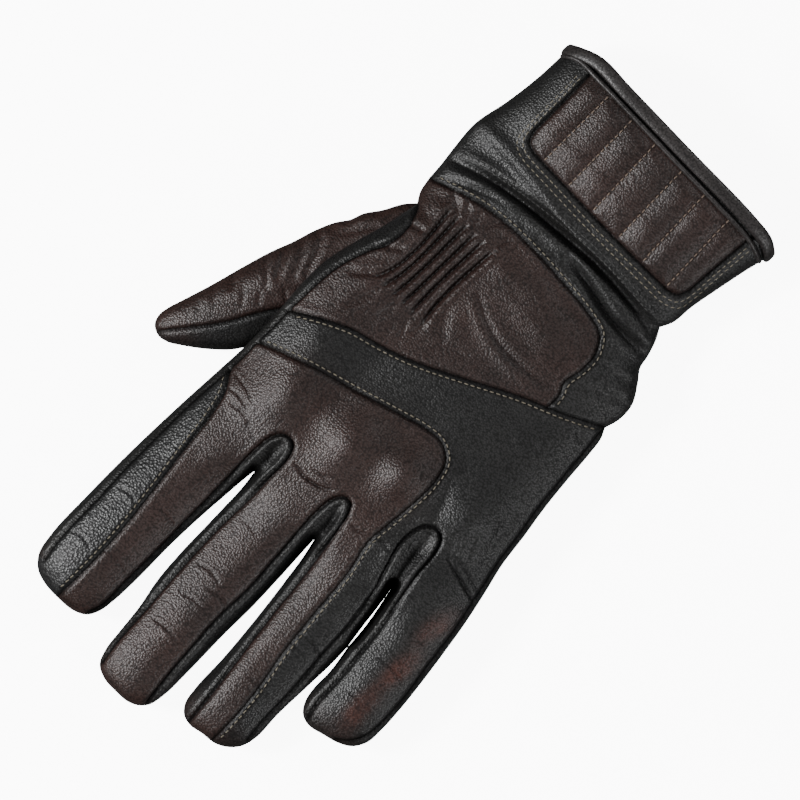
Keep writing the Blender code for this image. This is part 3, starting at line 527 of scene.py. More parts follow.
def triangulate(outline, lines, spacing, ribs=()):
    """(points, triangles) that fill the outline, with edges along the lines and rows of points by ribs."""
    points, edges, count = [], [], 0
    for line, is_loop in [(outline, True)] + [(c, False) for c in lines]:
        points.append(line)
        edges += [(count + i, count + i + 1) for i in range(len(line) - 1)]
        if is_loop:
            edges.append((count + len(line) - 1, count))
        count += len(line)
    fixed = np.concatenate(points)
    loose = []
    rim = closed(outline)
    for d in RIM_ROWS:
        ring = offset(rim, d)[:-1]
        ring = ring[(away(ring, rim, 4) > d * 0.93) & inside(ring, outline)]
        loose.append(thin_out(ring, fixed, d * 0.6))
    taken = np.concatenate([fixed] + loose)
    for d in RIB_ROWS if ribs else ():
        rows = np.concatenate([offset(rib, d) for rib in ribs])
        loose.append(thin_out(rows[inside(rows, outline)], taken, RIB_GAP))
        taken = np.concatenate([taken, loose[-1]])
    low, high = outline.min(0), outline.max(0)
    rows = int((high[1] - low[1]) / (spacing * 0.866)) + 1
    columns = int((high[0] - low[0]) / spacing) + 1
    j, i = np.mgrid[0:rows, 0:columns]
    grid = np.stack([low[0] + (i + 0.5 * (j % 2)) * spacing, low[1] + j * spacing * 0.866], -1)
    grid = grid.reshape(-1, 2)
    loose.append(thin_out(grid[inside(grid, outline)], taken, spacing * 0.6))
    every = np.concatenate([fixed] + loose)
    out = delaunay_2d_cdt([Vector(p) for p in every.tolist()], edges, [], 0, 1e-4, False)
    made = np.array([tuple(v) for v in out[0]])
    triangles = np.array(out[2])
    return made, triangles[inside(made[triangles].mean(1), outline)]


def vertex_normals(points, triangles):
    """The mean normals of the triangles round each point."""
    a, b, c = (points[triangles[:, k]] for k in range(3))
    face = np.cross(b - a, c - a)
    normal = np.zeros_like(points)
    for k in range(3):
        np.add.at(normal, triangles[:, k], face)
    return normal / np.maximum(np.linalg.norm(normal, axis=1, keepdims=True), 1e-12)


class Skin:
    """A closed surface in millimetres, with the name of the leather piece on each of its triangles."""

    def __init__(self, top, top_triangles, low, low_triangles, labels):
        points = np.concatenate([top, low])
        triangles = np.concatenate([top_triangles, low_triangles[:, ::-1] + len(top)])
        on_back = np.arange(len(points)) < len(top)
        _, first, index = np.unique(np.round(points, 3), axis=0, return_index=True, return_inverse=True)
        triangles = index.reshape(-1)[triangles]
        whole = (np.diff(np.c_[triangles, triangles[:, :1]], axis=1) != 0).all(1)
        self.points, self.on_back = points[first], on_back[first]
        self.triangles, self.labels = triangles[whole], labels[whole]
        self.normals = vertex_normals(self.points, self.triangles)
        self.wear = np.zeros(len(self.points))
        # painted shade: how far each point is darkened, as if shaded, in a seam, a crease, a row of stitches
        # or a hollow between fingers
        self.crease_shade = np.zeros(len(self.points))

    def press(self, relief):
        """Moves the surface out by relief, in millimetres."""
        self.points = self.points + self.normals * relief[:, None]
        self.normals = vertex_normals(self.points, self.triangles)
        self.tree = BVHTree.FromPolygons(self.points.tolist(), self.triangles.tolist())

    def at(self, x, y, above=True):
        """The place and the normal on the surface above or below a point, or None."""
        start, way = (80, -1) if above else (-20, 1)
        place, normal = self.tree.ray_cast(Vector((x, y, start)), Vector((0, 0, way)))[:2]
        return (place, normal) if place else None


def rim_of(faces, count):
    """The edges that only one triangle has."""
    ends = np.concatenate([faces[:, [0, 1]], faces[:, [1, 2]], faces[:, [2, 0]]])
    return ends[~np.isin(ends[:, 0] * count + ends[:, 1], ends[:, 1] * count + ends[:, 0])]


def split_pinches(faces, count):
    """Where fans of triangles share only a corner, each gets its own. Returns where the corners come from."""
    source = list(range(count))
    rim = rim_of(faces, count)
    for corner in np.flatnonzero(np.bincount(rim[:, 0], minlength=count) > 1):
        around = [int(f) for f in np.flatnonzero((faces == corner).any(1))]
        fans = []
        while around:
            fan = [around.pop()]
            rims = set(faces[fan[0]]) - {corner}
            grown = True
            while grown:
                grown = False
                for f in list(around):
                    if rims & (set(faces[f]) - {corner}):
                        rims |= set(faces[f]) - {corner}
                        fan.append(f)
                        around.remove(f)
                        grown = True
            fans.append(fan)
        for fan in fans[1:]:
            for f in fan:
                faces[f][faces[f] == corner] = len(source)
            source.append(int(corner))
    return faces, np.array(source)


def make_object(name, mesh):
    thing = bpy.data.objects.new(name, mesh)
    bpy.context.scene.collection.objects.link(thing)
    return thing


def shell(name, skin, triangles, thickness=LEATHER, under=0.0):
    """A closed sheet of the triangles' shape, its outer side at the skin or under it."""
    used, index = np.unique(triangles, return_inverse=True)
    faces, source = split_pinches(index.reshape(-1, 3).copy(), len(used))
    used = used[source]
    n = len(used)
    normal = skin.normals[used]
    outer = skin.points[used] - normal * under
    rim = rim_of(faces, n)
    quads = np.stack([rim[:, 1], rim[:, 0], rim[:, 0] + n, rim[:, 1] + n], 1)
    mesh = bpy.data.meshes.new(name)
    mesh.from_pydata(
        (np.concatenate([outer, outer - normal * thickness]) * MM).tolist(),
        [],
        faces.tolist() + (faces[:, ::-1] + n).tolist() + quads.tolist(),
    )
    mesh.shade_smooth()
    mesh.normals_split_custom_set_from_vertices(np.concatenate([normal, -normal]).tolist())
    # the wear and the painted shade of seams and creases go to the material as point attributes
    for kind, values in (("wear", skin.wear), ("crease_shade", skin.crease_shade)):
        attribute = mesh.attributes.new(kind, "FLOAT", "POINT")
        attribute.data.foreach_set("value", np.tile(values[used], 2).astype(np.float32))
    return make_object(name, mesh)


def solid(name, points, faces, angle=None):
    """An object of points in millimetres."""
    mesh = bpy.data.meshes.new(name)
    mesh.from_pydata((np.asarray(points) * MM).tolist(), [], [tuple(f) for f in faces])
    mesh.shade_smooth()
    if angle:
        mesh.set_sharp_from_angle(angle=math.radians(angle))
    return make_object(name, mesh)


def tube(name, path, radius, sides=12):
    """A round tube along the path, with flat ends."""
    count = len(path)
    ahead = tangents(path)
    across = np.cross(ahead, (0.0, 0.0, 1.0))
    across /= np.linalg.norm(across, axis=1, keepdims=True)
    up = np.cross(across, ahead)
    turn = np.linspace(0, 2 * math.pi, sides, endpoint=False)
    ring = across[:, None] * np.cos(turn)[:, None] + up[:, None] * np.sin(turn)[:, None]
    points = (path[:, None] + radius * ring).reshape(-1, 3)
    faces = [tuple(range(sides)), tuple(range((count - 1) * sides, count * sides))[::-1]]
    for i in range(count - 1):
        a, b = i * sides, (i + 1) * sides
        faces += [(a + k, b + k, b + (k + 1) % sides, a + (k + 1) % sides) for k in range(sides)]
    return solid(name, points, faces)


# Folds and noise ------------------------------------------------------------------------------------


def gauss(d, width):
    """A smooth bump of height 1."""
    return np.exp(-((d / width) ** 2))


def noise(p, size, seed, stretch=(1, 1)):
    """Smooth random values from -1 to 1, with lumps of about the size."""
    cells = 64
    table = np.random.RandomState(seed).uniform(-1, 1, (cells, cells))
    g = p / (np.array(stretch) * size) + 1000
    i = np.floor(g).astype(int)
    return bilinear(np.pad(table, (0, 1), "wrap"), i % cells, ease(g - i))


def folds(q, table):
    """The sum of folds, each (points, depth, width): a valley with soft ridges, that fades at its ends."""
    out = np.zeros(len(q))
    for points, depth, width in table:
        curve = smooth(points)
        d, s = nearest_on(q, curve, 4 * width)
        end = along(curve)[-1]
        near = np.abs(d) < 5 * width
        fade = np.sqrt(np.clip(np.sin(math.pi * np.clip(s[near] / end, 0, 1)), 0, 1))
        dn = d[near]
        ridges = gauss(np.abs(dn) - 2.1 * width, 1.4 * width)
        out[near] += fade * depth * (0.3 * ridges - gauss(dn, width))
    return out


def lumps(q, table):
    """The sum of soft bulges, each (x, y, height, half width, half length, turn in degrees)."""
    out = np.zeros(len(q))
    for x, y, height, wide, long, turn in table:
        c, s = math.cos(math.radians(turn)), math.sin(math.radians(turn))
        dx, dy = q[:, 0] - x, q[:, 1] - y
        out += height * np.exp(-(((c * dx + s * dy) / wide) ** 2) - ((c * dy - s * dx) / long) ** 2)
    return out


def seam_dip(d, depth=0.85):
    """Both pieces roll down into a seam."""
    d = np.abs(d)
    return -depth * gauss(d, 0.6) + 0.17 * gauss(d - 1.9, 1.3)


# The hand's body ------------------------------------------------------------------------------------


# Along the glove, in y: the side seam's height, how far the back rises over it, the palm side's lowest
# place, and how steeply the palm side falls to that
SIDE = [(-150, 14), (-118, 14.5), (-90, 13), (-60, 12.5), (0, 12.5), (40, 11.5), (70, 10), (150, 9.5)]
BACK_HEIGHT = [(-150, 19), (-118, 18.8), (-98, 17.5), (-84, 14.2), (-76, 11.6), (-64, 12.6), (-50, 14),
               (-25, 14.6), (5, 15.2), (32, 16.6), (48, 18.6), (66, 20.5), (150, 20.5)]
FLOOR = [(-150, 4.6), (-85, 4.6), (-66, 2.0), (38, 2.0), (60, 0.4), (150, 0.4)]
FALL = [(-150, 24), (-66, 26), (30, 26), (66, 30), (150, 30)]


def side_z(p):
    """Height of the side seam, which is highest where the hand lies over the thumb."""
    y = p[:, 1]
    z = lookup(SIDE, y)
    return z + 4.0 * ease((y + 58) / 26) * ease((42 - y) / 24) * ease((p[:, 0] - 20) / 36)


def level_off(t):
    """t while it is small, but no more than 1."""
    return np.tanh(t**2.2) ** (1 / 2.2)


def heights(puff, p, back):
    """The points of one side in 3-D, before its seams and folds."""
    full = puff.fullness(p)
    side = side_z(p)
    if back:
        return np.column_stack([p, side + full * lookup(BACK_HEIGHT, p[:, 1])])
    room = side - lookup(FLOOR, p[:, 1])
    drop = full * lookup(FALL, p[:, 1]) / room
    return np.column_stack([p, side - room * level_off(drop)])


def segment_of(p):
    """Which finger a point is on, and 0 on the hand, or 1, 2 or 3 on a finger's base, middle or tip."""
    finger = finger_of(p)
    segment = np.zeros(len(p), int)
    for i, name in enumerate(FINGERS):
        for cut in cuts_of(name)[:3]:
            segment += (finger == i) & (p[:, 1] > cut)
    return finger, segment


def in_loop(p, loop):
    """Which points are on the fingers' side of a U-shaped seam."""
    return inside(p, np.concatenate([loop, [(loop[-1, 0], 200), (loop[0, 0], 200)]]))


def back_labels(p):
    """The name of the leather piece at each point of the back."""
    finger, segment = segment_of(p)
    x, y = p[:, 0], p[:, 1]
    name = np.full(len(p), "hand_back_band", dtype="<U48")
    knuckle = inside(p, np.concatenate([KNUCKLE_SPLIT, [(90, 27.7), (90, 160), (-30.3, 160)]]))
    below_band = y < y_at(BAND, x)
    wrist = inside(p, np.concatenate([WRIST_EDGE, [(80, -55.5), (80, 30), (-29.4, 30)]]))
    name[knuckle] = "knuckle_panel"
    name[below_band] = "wrist_gather"
    name[below_band & wrist] = "wrist_panel"
    name[y < CUFF_LINE] = "cuff_back"
    name[inside(p, QUILT) & (y > y_at(CORD, x))] = "quilted_panel"
    loops = [in_loop(p, loop) for loop in LOOPS]
    index_outer = (x > x_at(INDEX_SPLIT, y)) & (y > 41)
    for i, finger_name in enumerate(FINGERS):
        for s in (1, 2, 3):
            here = (finger == i) & (segment == s)
            stem = f"{finger_name}_{PARTS[s]}"
            if finger_name == "index":
                name[here] = stem + "_inner_back"
                name[here & index_outer] = stem + "_outer_back"
                name[here & loops[0]] = stem + "_fourchette"
            elif finger_name == "middle":
                name[here] = stem + "_back"
                name[here & loops[0]] = stem + "_fourchette_thumb_side"
                name[here & loops[1]] = stem + "_fourchette_little_side"
            elif finger_name == "ring":
                name[here] = stem + "_outer_back"
                name[here & knuckle] = stem + "_inner_back"
                name[here & loops[1]] = stem + "_fourchette_thumb_side"
                name[here & loops[2]] = stem + "_fourchette_little_side"
            else:
                name[here] = stem + "_back"
                name[here & loops[2]] = stem + "_fourchette"
    for loop, web in zip(loops, ("web_middle_index", "web_ring_middle", "web_little_ring")):
        name[loop & (segment == 0)] = web
    name[(segment == 0) & (finger == 0) & index_outer] = "index_root_outer_back"
    palms = ("palm_panel", "{}_base_palm", "{}_middle_palm", "{}_tip_palm")
    edges = ((0, x > x_at(OUTSEAM, y), -46, 134.5), (3, x < x_at(LITTLE_OUTER, y), -38, 106))
    for i, edge, low, high in edges:
        for s, stem in enumerate(palms):
            name[edge & (y > low) & (y < high) & (finger == i) & (segment == s)] = stem.format(FINGERS[i])
    return name


def palm_labels(p, palm):
    """The name of the leather piece at each point of the palm side."""
    finger, segment = segment_of(p)
    name = np.full(len(p), "palm_panel", dtype="<U48")
    name[p[:, 1] < CUFF_LINE] = "cuff_palm"
    strip = ~inside(p, palm)
    for i, finger_name in enumerate(FINGERS):
        for s in (1, 2, 3):
            here = (finger == i) & (segment == s)
            stem = f"{finger_name}_{PARTS[s]}"
            name[here] = stem + "_palm"
            if finger_name in ("index", "little"):
                name[here & strip] = stem + "_fourchette"
            else:
                thumb_side = p[:, 0] > lookup(FINGER_MIDDLE[finger_name], p[:, 1])
                name[here & strip & thumb_side] = stem + "_fourchette_thumb_side"
                name[here & strip & ~thumb_side] = stem + "_fourchette_little_side"
    return name


def bend_cuts():
    """The lines where the pieces end: at the cuff, at the fingers' bends and between the fingers."""
    cuts = [smooth([(-60, CUFF_LINE), (66, CUFF_LINE)])]
    for i, name in enumerate(FINGERS):
        for y in cuts_of(name)[:3]:
            right = 66.0 if i == 0 else float(x_at(BETWEEN[i - 1], y))
            left = -72.0 if i == 3 else float(x_at(BETWEEN[i], y))
            cuts.append(smooth([(left, y), (right, y)]))
    return cuts + [line[line[:, 1] < fork[1]] for line, fork in zip(BETWEEN, FORKS)]


def short_of_mouth(points, triangles):
    """The triangles that aren't beyond the cuff's mouth."""
    middle = points[triangles].mean(1)
    return triangles[middle[:, 1] > y_at(MOUTH, middle[:, 0])]


def build_hand():
    """The hand's and the fingers' skin, with its seams and folds, and the body it lies on."""
    puff = Puff(OUTLINE, HAND_SPREAD)
    cuts = [*bend_cuts(), MOUTH]
    rows = [*SEAMS, *TOPSTITCHES, CORD, *QUILT_LINES, *SHIRRING, *(smooth(c[0]) for c in CREASES)]
    top, top_triangles = triangulate(OUTLINE, [*SEAMS, *cuts, CORD], FINE, ribs=rows)
    top_triangles = short_of_mouth(top, top_triangles)
    palm = palm_seam()
    low, low_triangles = triangulate(OUTLINE, [palm, *cuts], COARSE, ribs=[palm])
    low_triangles = short_of_mouth(low, low_triangles)
    labels = [back_labels(top[top_triangles].mean(1)), palm_labels(low[low_triangles].mean(1), palm)]
    sides = heights(puff, top, True), top_triangles, heights(puff, low, False), low_triangles
    skin = Skin(*sides, np.concatenate(labels))
    q = skin.points[:, :2]
    relief = np.where(skin.on_back, back_relief(q), palm_relief(q, palm))
    skin.press(relief * ease(away(q, closed(OUTLINE), 3) / RIM_CALM))
    skin.wear = hand_wear(skin)
    # painted shade on the back only: seams, creases, rows of stitches and the hollows between fingers
    skin.crease_shade = hand_crease_shade(q) * skin.on_back
    return skin, puff


def hand_crease_shade(q):
    """The painted shade of the back: how far in a seam, a crease, a row of stitches or the hollow between two
    fingers it is, which darkens the leather as if shaded.
    """
    # painted shade in the creases, by how deep they are
    valley_shade = np.clip(-0.75 * folds(q, CREASES), 0, 0.55)
    crease_shade = np.maximum(gauss(away_from_all(q, SEAMS, 3), SEAM_SHADE), valley_shade)
    # painted shade along the rows of stitches and the shirring's rows
    stitched = away_from_all(q, [*TOPSTITCHES, *(row[7:-7] for row in SHIRRING)], 3)
    crease_shade = np.maximum(crease_shade, 0.75 * gauss(stitched, 0.55))
    # painted shadow in the hollow between two fingers
    for loop, between, root in zip(LOOPS, BETWEEN, HOLLOW_FROM):
        gap = np.abs(q[:, 0] - x_at(between, q[:, 1]))
        lengthwise = ease((q[:, 1] - root) / 8) * ease((root + 40 - q[:, 1]) / 20)
        crease_shade = np.maximum(crease_shade, in_loop(q, loop) * gauss(gap, 2.0) * lengthwise)
    return crease_shade


def shirring(q):
    """The elastic's rows, with the leather gathered between them."""
    out = np.zeros(len(q))
    nearest = away_from_all(q, SHIRRING, 6)
    near = nearest < 4
    y, d = q[near, 1], nearest[near]
    across = gauss(d, 0.8)
    gathers = np.sin(2 * math.pi * (y / 2.6 + 0.8 * noise(q[near], 3, 5))) * (1 - across)
    ends = ease((y + 55) / 5) * ease((-16 - y) / 5)
    puckers = -1.6 * across + 0.6 * (1 - gauss(d, 1.4)) + 0.08 * gathers
    out[near] = puckers * ease((4 - d) / 2.2) * ends
    return out - 0.7 * np.exp(-(((q[:, 0] - 33) / 13) ** 4) - ((q[:, 1] + 36) / 19) ** 4)


def quilting(q):
    """The quilted panel's channels."""
    out = np.zeros(len(q))
    here = inside(q, QUILT)
    nearest = away_from_all(q[here], [*QUILT_LINES, QUILT], 20)
    pucker = 0.1 * noise(q[here], 2.2, 8, (1.6, 0.8)) * gauss(nearest - 1.6, 1.6)
    beyond = ease((q[here, 1] - y_at(CORD, q[here, 0]) - 0.6) / 5)
    out[here] = (1.05 * (1 - np.exp(-((nearest / 2.4) ** 1.3))) + pucker) * beyond - 0.2
    return out


def back_relief(q):
    """How far the leather of the back stands out, in millimetres."""
    x, y = q[:, 0], q[:, 1]
    out = np.zeros(len(q))
    for seam in (OUTSEAM, INDEX_SPLIT, KNUCKLE_SPLIT, BAND, WRIST_EDGE, LITTLE_OUTER, QUILT):
        out += seam_dip(nearest_on(q, seam, 6)[0])
    for row in TOPSTITCHES:
        out -= 0.22 * gauss(nearest_on(q, row, 5)[0], 0.5)
    out -= 0.9 * gauss(nearest_on(q, offset(CORD, -1.7), 5)[0], 0.7)
    for loop, between, root in zip(LOOPS, BETWEEN, HOLLOW_FROM):
        d = away(q, loop, 8)
        within = in_loop(q, loop)
        crotch = ease((root + 32 - y) / 26)
        out += seam_dip(d, 1.0)
        out += within * (0.35 + 0.9 * crotch) * gauss(d - 1.5, 0.95)
        gap = np.abs(x - x_at(between, y))
        fork = between[np.argmin(np.where(inside(between, OUTLINE), 1e3, between[:, 1])), 1]
        out -= within * 1.6 * gauss(gap, 2.4) * ease((y - root) / 6) * ease((fork - 1 - y) / 9)
    bead = nearest_on(q, OUTSEAM, 4)[0]
    out += 0.45 * gauss(bead + 1.0, 0.45) * ease((42 - y) / 10) * ease((y + 44) / 10)
    out += lumps(q, BULGES) + folds(q, CREASES) + folds(q, BACK_FOLDS)
    out += shirring(q) + quilting(q)
    twin = nearest_on(q, TWIN_ROW, 5)
    out += 0.12 * gauss(twin[0], 2.2) * np.sin(2 * math.pi * twin[1] / 2.4)
    wrist = gauss(y + 62, 26) * ease((-20 - y) / 20)
    out += 0.4 * wrist * noise(q, 7, 1, (1.6, 0.8)) + 0.14 * wrist * noise(q, 3, 2, (1.5, 0.8))
    out += 0.22 * noise(q, 13, 3) + 0.06 * noise(q, 5, 4, (1.3, 1))
    return out


# Folds of the palm side: across the fingers, from x to x at a y, and the hand's own lines
FINGER_FOLDS = ((33, 57, 64), (33, 57, 93), (33, 55, 116), (-1, 21, 66), (-2, 19, 99), (-3, 16, 122),
                (-34, -12, 64), (-36, -15, 89), (-37, -17, 112), (-62, -42, 57), (-64, -45, 75),
                (-65, -47, 91))
PALM_FOLDS = [
    *(([(x0, y), ((x0 + x1) / 2, y + 1), (x1, y)], 0.7, 1.5) for x0, x1, y in FINGER_FOLDS),
    ([(40, 30), (25, 12), (18, -12), (22, -40)], 0.8, 2.5),
    ([(48, 34), (10, 34), (-45, 26)], 0.6, 2.5),
]


def palm_relief(q, palm):
    """How far the leather of the palm side stands out, in millimetres."""
    out = seam_dip(away(q, palm, 6)) * 0.8 + folds(q, PALM_FOLDS)
    return out + 0.25 * noise(q, 12, 13) + 0.1 * noise(q, 4, 14)


def hand_wear(skin):
    """Where the leather is rubbed."""
    q = skin.points[:, :2]
    knuckles = [(12, 30, 0.5, 11, 14, 0), (41, 32, 0.5, 11, 13, 0), (-12, 27, 0.5, 9, 12, 0)]
    tips = [(45, 136, 0.6, 16, 6, 0), (6, 145, 0.6, 13, 6, 0), (-26, 134, 0.6, 13, 6, 0),
            (-57, 104, 0.4, 12, 5, 0)]
    rub = lumps(q, [(-58.5, 91, 1.6, 3.4, 8, 4), (-58.8, 72, 1.5, 3.2, 7.5, -4), (-57, 53, 1.3, 3.2, 7, -10)])
    return np.clip(lumps(q, knuckles + tips), 0, 1) * 0.5 + np.clip(rub, 0, 1) * skin.on_back


# The thumb ------------------------------------------------------------------------------------------

THUMB = chain(
    [(53, -46.5), (56.5, -42.5), (60, -36), (64, -30), (65.6, -25.5), (68.6, -21), (71.6, -14),
     (74.2, -5.5), (77, 2), (80.3, 13.5), (83.3, 25), (86.6, 36), (88.4, 42), (88.8, 45.5), (87.6, 48.8),
     (84, 50.6), (80.6, 50), (76, 47.2), (68, 41), (62, 34.8), (58.4, 28), (56, 18), (53.6, 8), (50, -5),
     (47, -20), (46, -32), (48, -42), (53, -46.5)],
)[:-1]
THUMB = offset(THUMB, -SPARE)
THUMB_SEAM = smooth([(85, 49.8), (80, 43.3), (75, 37), (70, 29.5), (65, 20.5), (60.5, 13.5), (55, 6)])
THUMB_AT = joint_at("thumb_base_bend")[:2]
THUMB_AXIS = np.array(JOINTS["thumb_base_bend"]["axis"])[:2]
THUMB_WAY = np.array([-THUMB_AXIS[1], THUMB_AXIS[0]])
THUMB_WAY *= np.sign(THUMB_WAY @ (joint_at("thumb_tip_bend")[:2] - THUMB_AT)) / np.linalg.norm(THUMB_AXIS)
THUMB_BENDS = (0.0, float((joint_at("thumb_tip_bend")[:2] - THUMB_AT) @ THUMB_WAY))
THUMB_CUTS = (-13.0, THUMB_BENDS[1] / 2)  # where its pieces end, from the first bend

# For the thumb, what SIDE, BACK_HEIGHT, FLOOR and FALL are for the hand
THUMB_SIDE = [(-50, 9), (-20, 8.5), (10, 7.6), (60, 6.6)]
THUMB_HEIGHT = [(-50, 12), (-20, 13), (10, 15.5), (60, 16.5)]
THUMB_FLOOR = 0.5
THUMB_FALL = 22

THUMB_FOLDS = [
    ([(75.5, -5), (72.6, 1), (70.6, 4.5), (68.6, 8.5)], 0.95, 1.2),
    ([(72.5, -10), (69.4, -6), (66.8, -1), (65.5, 4)], 0.6, 1.4),
    ([(70, -16), (66.8, -11), (64, -4), (62, 1)], 0.85, 1.3),
    ([(77, 4), (74.6, 7), (71.2, 10), (69, 13)], 0.45, 0.9),
    ([(82, 15.6), (80.2, 18.6), (77.4, 22)], 0.5, 1.1),
    ([(75, 17.8), (72.8, 20.2), (70.6, 23)], 0.4, 0.7),
    ([(84.6, 24.2), (81.8, 26), (78.2, 29.6)], 0.3, 1.1),
    ([(70, 14.4), (68.4, 16.6), (66.4, 19)], 0.35, 0.8),
    ([(65, 7.6), (62.8, 9.4), (60, 10.4)], 0.35, 0.9),
    ([(84, 32.8), (80.6, 34), (78, 36.6)], 0.18, 1.1),
    ([(66, -18), (62, -24), (57, -32)], 0.7, 1.5),
]
THUMB_BULGES = [(74.2, 13.4, 0.5, 2.8, 4.2, -40), (76.4, 22.4, 0.4, 2.6, 3.4, -40),
                (67.6, 9, 0.4, 2.4, 3, -40)]


def thumb_station(p):
    """How far along the thumb a point is, from its first bend."""
    return (p[:, :2] - THUMB_AT) @ THUMB_WAY


def thumb_labels(p, back):
    """The name of the leather piece at each point of the thumb."""
    t = thumb_station(p)
    brown = (nearest_on(p, THUMB_SEAM, 100)[0] > 0) & back
    name = np.where(brown, "thumb_back", "thumb_palm").astype("<U48")
    name[t > THUMB_CUTS[1]] = "thumb_tip_palm"
    name[(t > THUMB_CUTS[1]) & brown] = "thumb_tip_back"
    name[t < THUMB_CUTS[0]] = "thumb_gusset"
    return name


def build_thumb():
    """The thumb's skin."""
    puff = Puff(THUMB, THUMB_SPREAD)
    across = np.array([THUMB_WAY[1], -THUMB_WAY[0]]) * 45
    centres = [THUMB_AT + THUMB_WAY * t for t in THUMB_CUTS]
    cuts = [smooth([centre - across, centre + across]) for centre in centres]
    sides = []
    for back, spacing in ((True, FINE), (False, COARSE)):
        seam = [THUMB_SEAM] if back else []
        p, triangles = triangulate(THUMB, cuts + seam, spacing, ribs=seam)
        full = puff.fullness(p)
        side = lookup(THUMB_SIDE, p[:, 1])
        if back:
            z = side + full * lookup(THUMB_HEIGHT, p[:, 1])
        else:
            room = side - THUMB_FLOOR
            z = side - room * level_off(full * THUMB_FALL / room)
        sides.append((np.column_stack([p, z]), triangles, thumb_labels(p[triangles].mean(1), back)))
    (top, top_triangles, top_labels), (low, low_triangles, low_labels) = sides
    skin = Skin(top, top_triangles, low, low_triangles, np.concatenate([top_labels, low_labels]))
    q = skin.points[:, :2]
    relief = seam_dip(away(q, THUMB_SEAM, 6)) + folds(q, THUMB_FOLDS) + lumps(q, THUMB_BULGES)
    relief *= skin.on_back
    relief += 0.25 * noise(q, 10, 21) + 0.08 * noise(q, 4, 22, (1.4, 0.8))
    skin.press(relief * ease(away(q, closed(THUMB), 3) / RIM_CALM))
    skin.wear = 0.3 * np.clip(lumps(q, [(82, 45, 0.8, 10, 8, -20)]), 0, 1)
    # painted shade along the thumb's seam
    skin.crease_shade = gauss(away(q, THUMB_SEAM, 3), SEAM_SHADE) * skin.on_back
    return skin


# Bodies ---------------------------------------------------------------------------------------------


WRIST_Y = -58  # stitches below this belong to the wrist's zone


def zone_of(name):
    """The zone that a piece goes with, from its name: a body, the wrist, or a finger's stretch."""
    words = name.split("_")
    if words[0] in FINGERS and words[1] in PARTS[1:]:
        return f"{words[0]}_{words[1]}"
    if words[0] == "thumb" and words[1] != "gusset":
        return "thumb_tip" if words[1] == "tip" else "thumb_base"
    if name in ("wrist_gather", "cuff_back", "cuff_palm", "palm_panel", "wrist_panel", "quilted_panel"):
        return "wrist"
    return "hand"


def attach(thing, zone):
    """Hangs a piece on its body's empty, or only bakes its place for a finger's, the thumb's or the wrist's
    zone.
    """
    finger = zone.split("_")[0]
    if finger in FINGERS:
        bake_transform(thing)
    elif finger == "thumb":
        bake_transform(thing)
    elif zone == "wrist":
        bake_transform(thing)
    else:
        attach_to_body(thing, zone)


def dress(thing, material, zone):
    """Gives a piece its material in its slot, and hangs it on its body or bakes its place."""
    thing.data.materials.append(material)
    attach(thing, zone)


def zone_at(x, y):
    """The zone at a point of the hand's skin."""
    finger, segment = segment_of(np.array([[x, y]]))
    if segment[0]:
        return f"{FINGERS[finger[0]]}_{PARTS[segment[0]]}"
    return "wrist" if y < WRIST_Y else "hand"


# Stitches -------------------------------------------------------------------------------------------

PITCH, STITCH, THREAD = 2.35, 1.6, 0.26  # from stitch to stitch, a stitch's length, and its thread's radius


def capsule():
    """A stitch along X, in units of its half length and its radius."""
    points, faces, sides = [(-1, 0, 0)], [], 6
    for x, r in ((-0.86, 0.75), (-0.4, 1.0), (0.4, 1.0), (0.86, 0.75)):
        turns = [2 * math.pi * k / sides for k in range(sides)]
        points += [(x, r * math.cos(turn), r * math.sin(turn)) for turn in turns]
    points.append((1, 0, 0))
    tip = len(points) - 1
    for k in range(sides):
        n = (k + 1) % sides
        faces.append((0, 1 + n, 1 + k))
        for ring in range(3):
            a, b = 1 + ring * sides, 1 + (ring + 1) * sides
            faces.append((a + k, a + n, b + n, b + k))
        faces.append((tip - sides + k, tip - sides + n, tip))
    return np.array(points, float), faces


def add_row(rows, skin, curve, thread, above=True, zone=None, pitch=PITCH, sink=0.08, size=1.0):
    """Adds a row of stitches along the curve to rows, a table of (zone, thread) to capsules."""
    ends = resample(curve, pitch)
    for a, b in zip(ends[:-1], ends[1:]):
        x, y = (a + b) / 2
        hit = skin.at(x, y, above)
        if not hit or abs(hit[1].z) < 0.12:
            continue
        place, normal = np.array(hit[0]), np.array(hit[1])
        way = np.array([*(b - a), 0.0])
        way -= normal * (way @ normal)
        way /= max(np.linalg.norm(way), 1e-9)
        side = np.cross(normal, way)
        halves = (way * STITCH / 2 * size, side * THREAD * size, normal * THREAD * size)
        rows.setdefault((zone or zone_at(x, y), thread), []).append((place - normal * sink, *halves))


def make_stitches(rows, materials):
    """One piece of each table entry's stitches."""
    shape, faces = capsule()
    for (zone, thread), stitches in sorted(rows.items()):
        points, all_faces = [], []
        for k, (place, way, side, normal) in enumerate(stitches):
            points.append(place + shape[:, :1] * way + shape[:, 1:2] * side + shape[:, 2:] * normal)
            all_faces += [tuple(i + k * len(shape) for i in f) for f in faces]
        thing = solid(f"stitches_{zone}_{thread}", np.concatenate(points), all_faces)
        dress(thing, materials["thread_" + thread], zone)


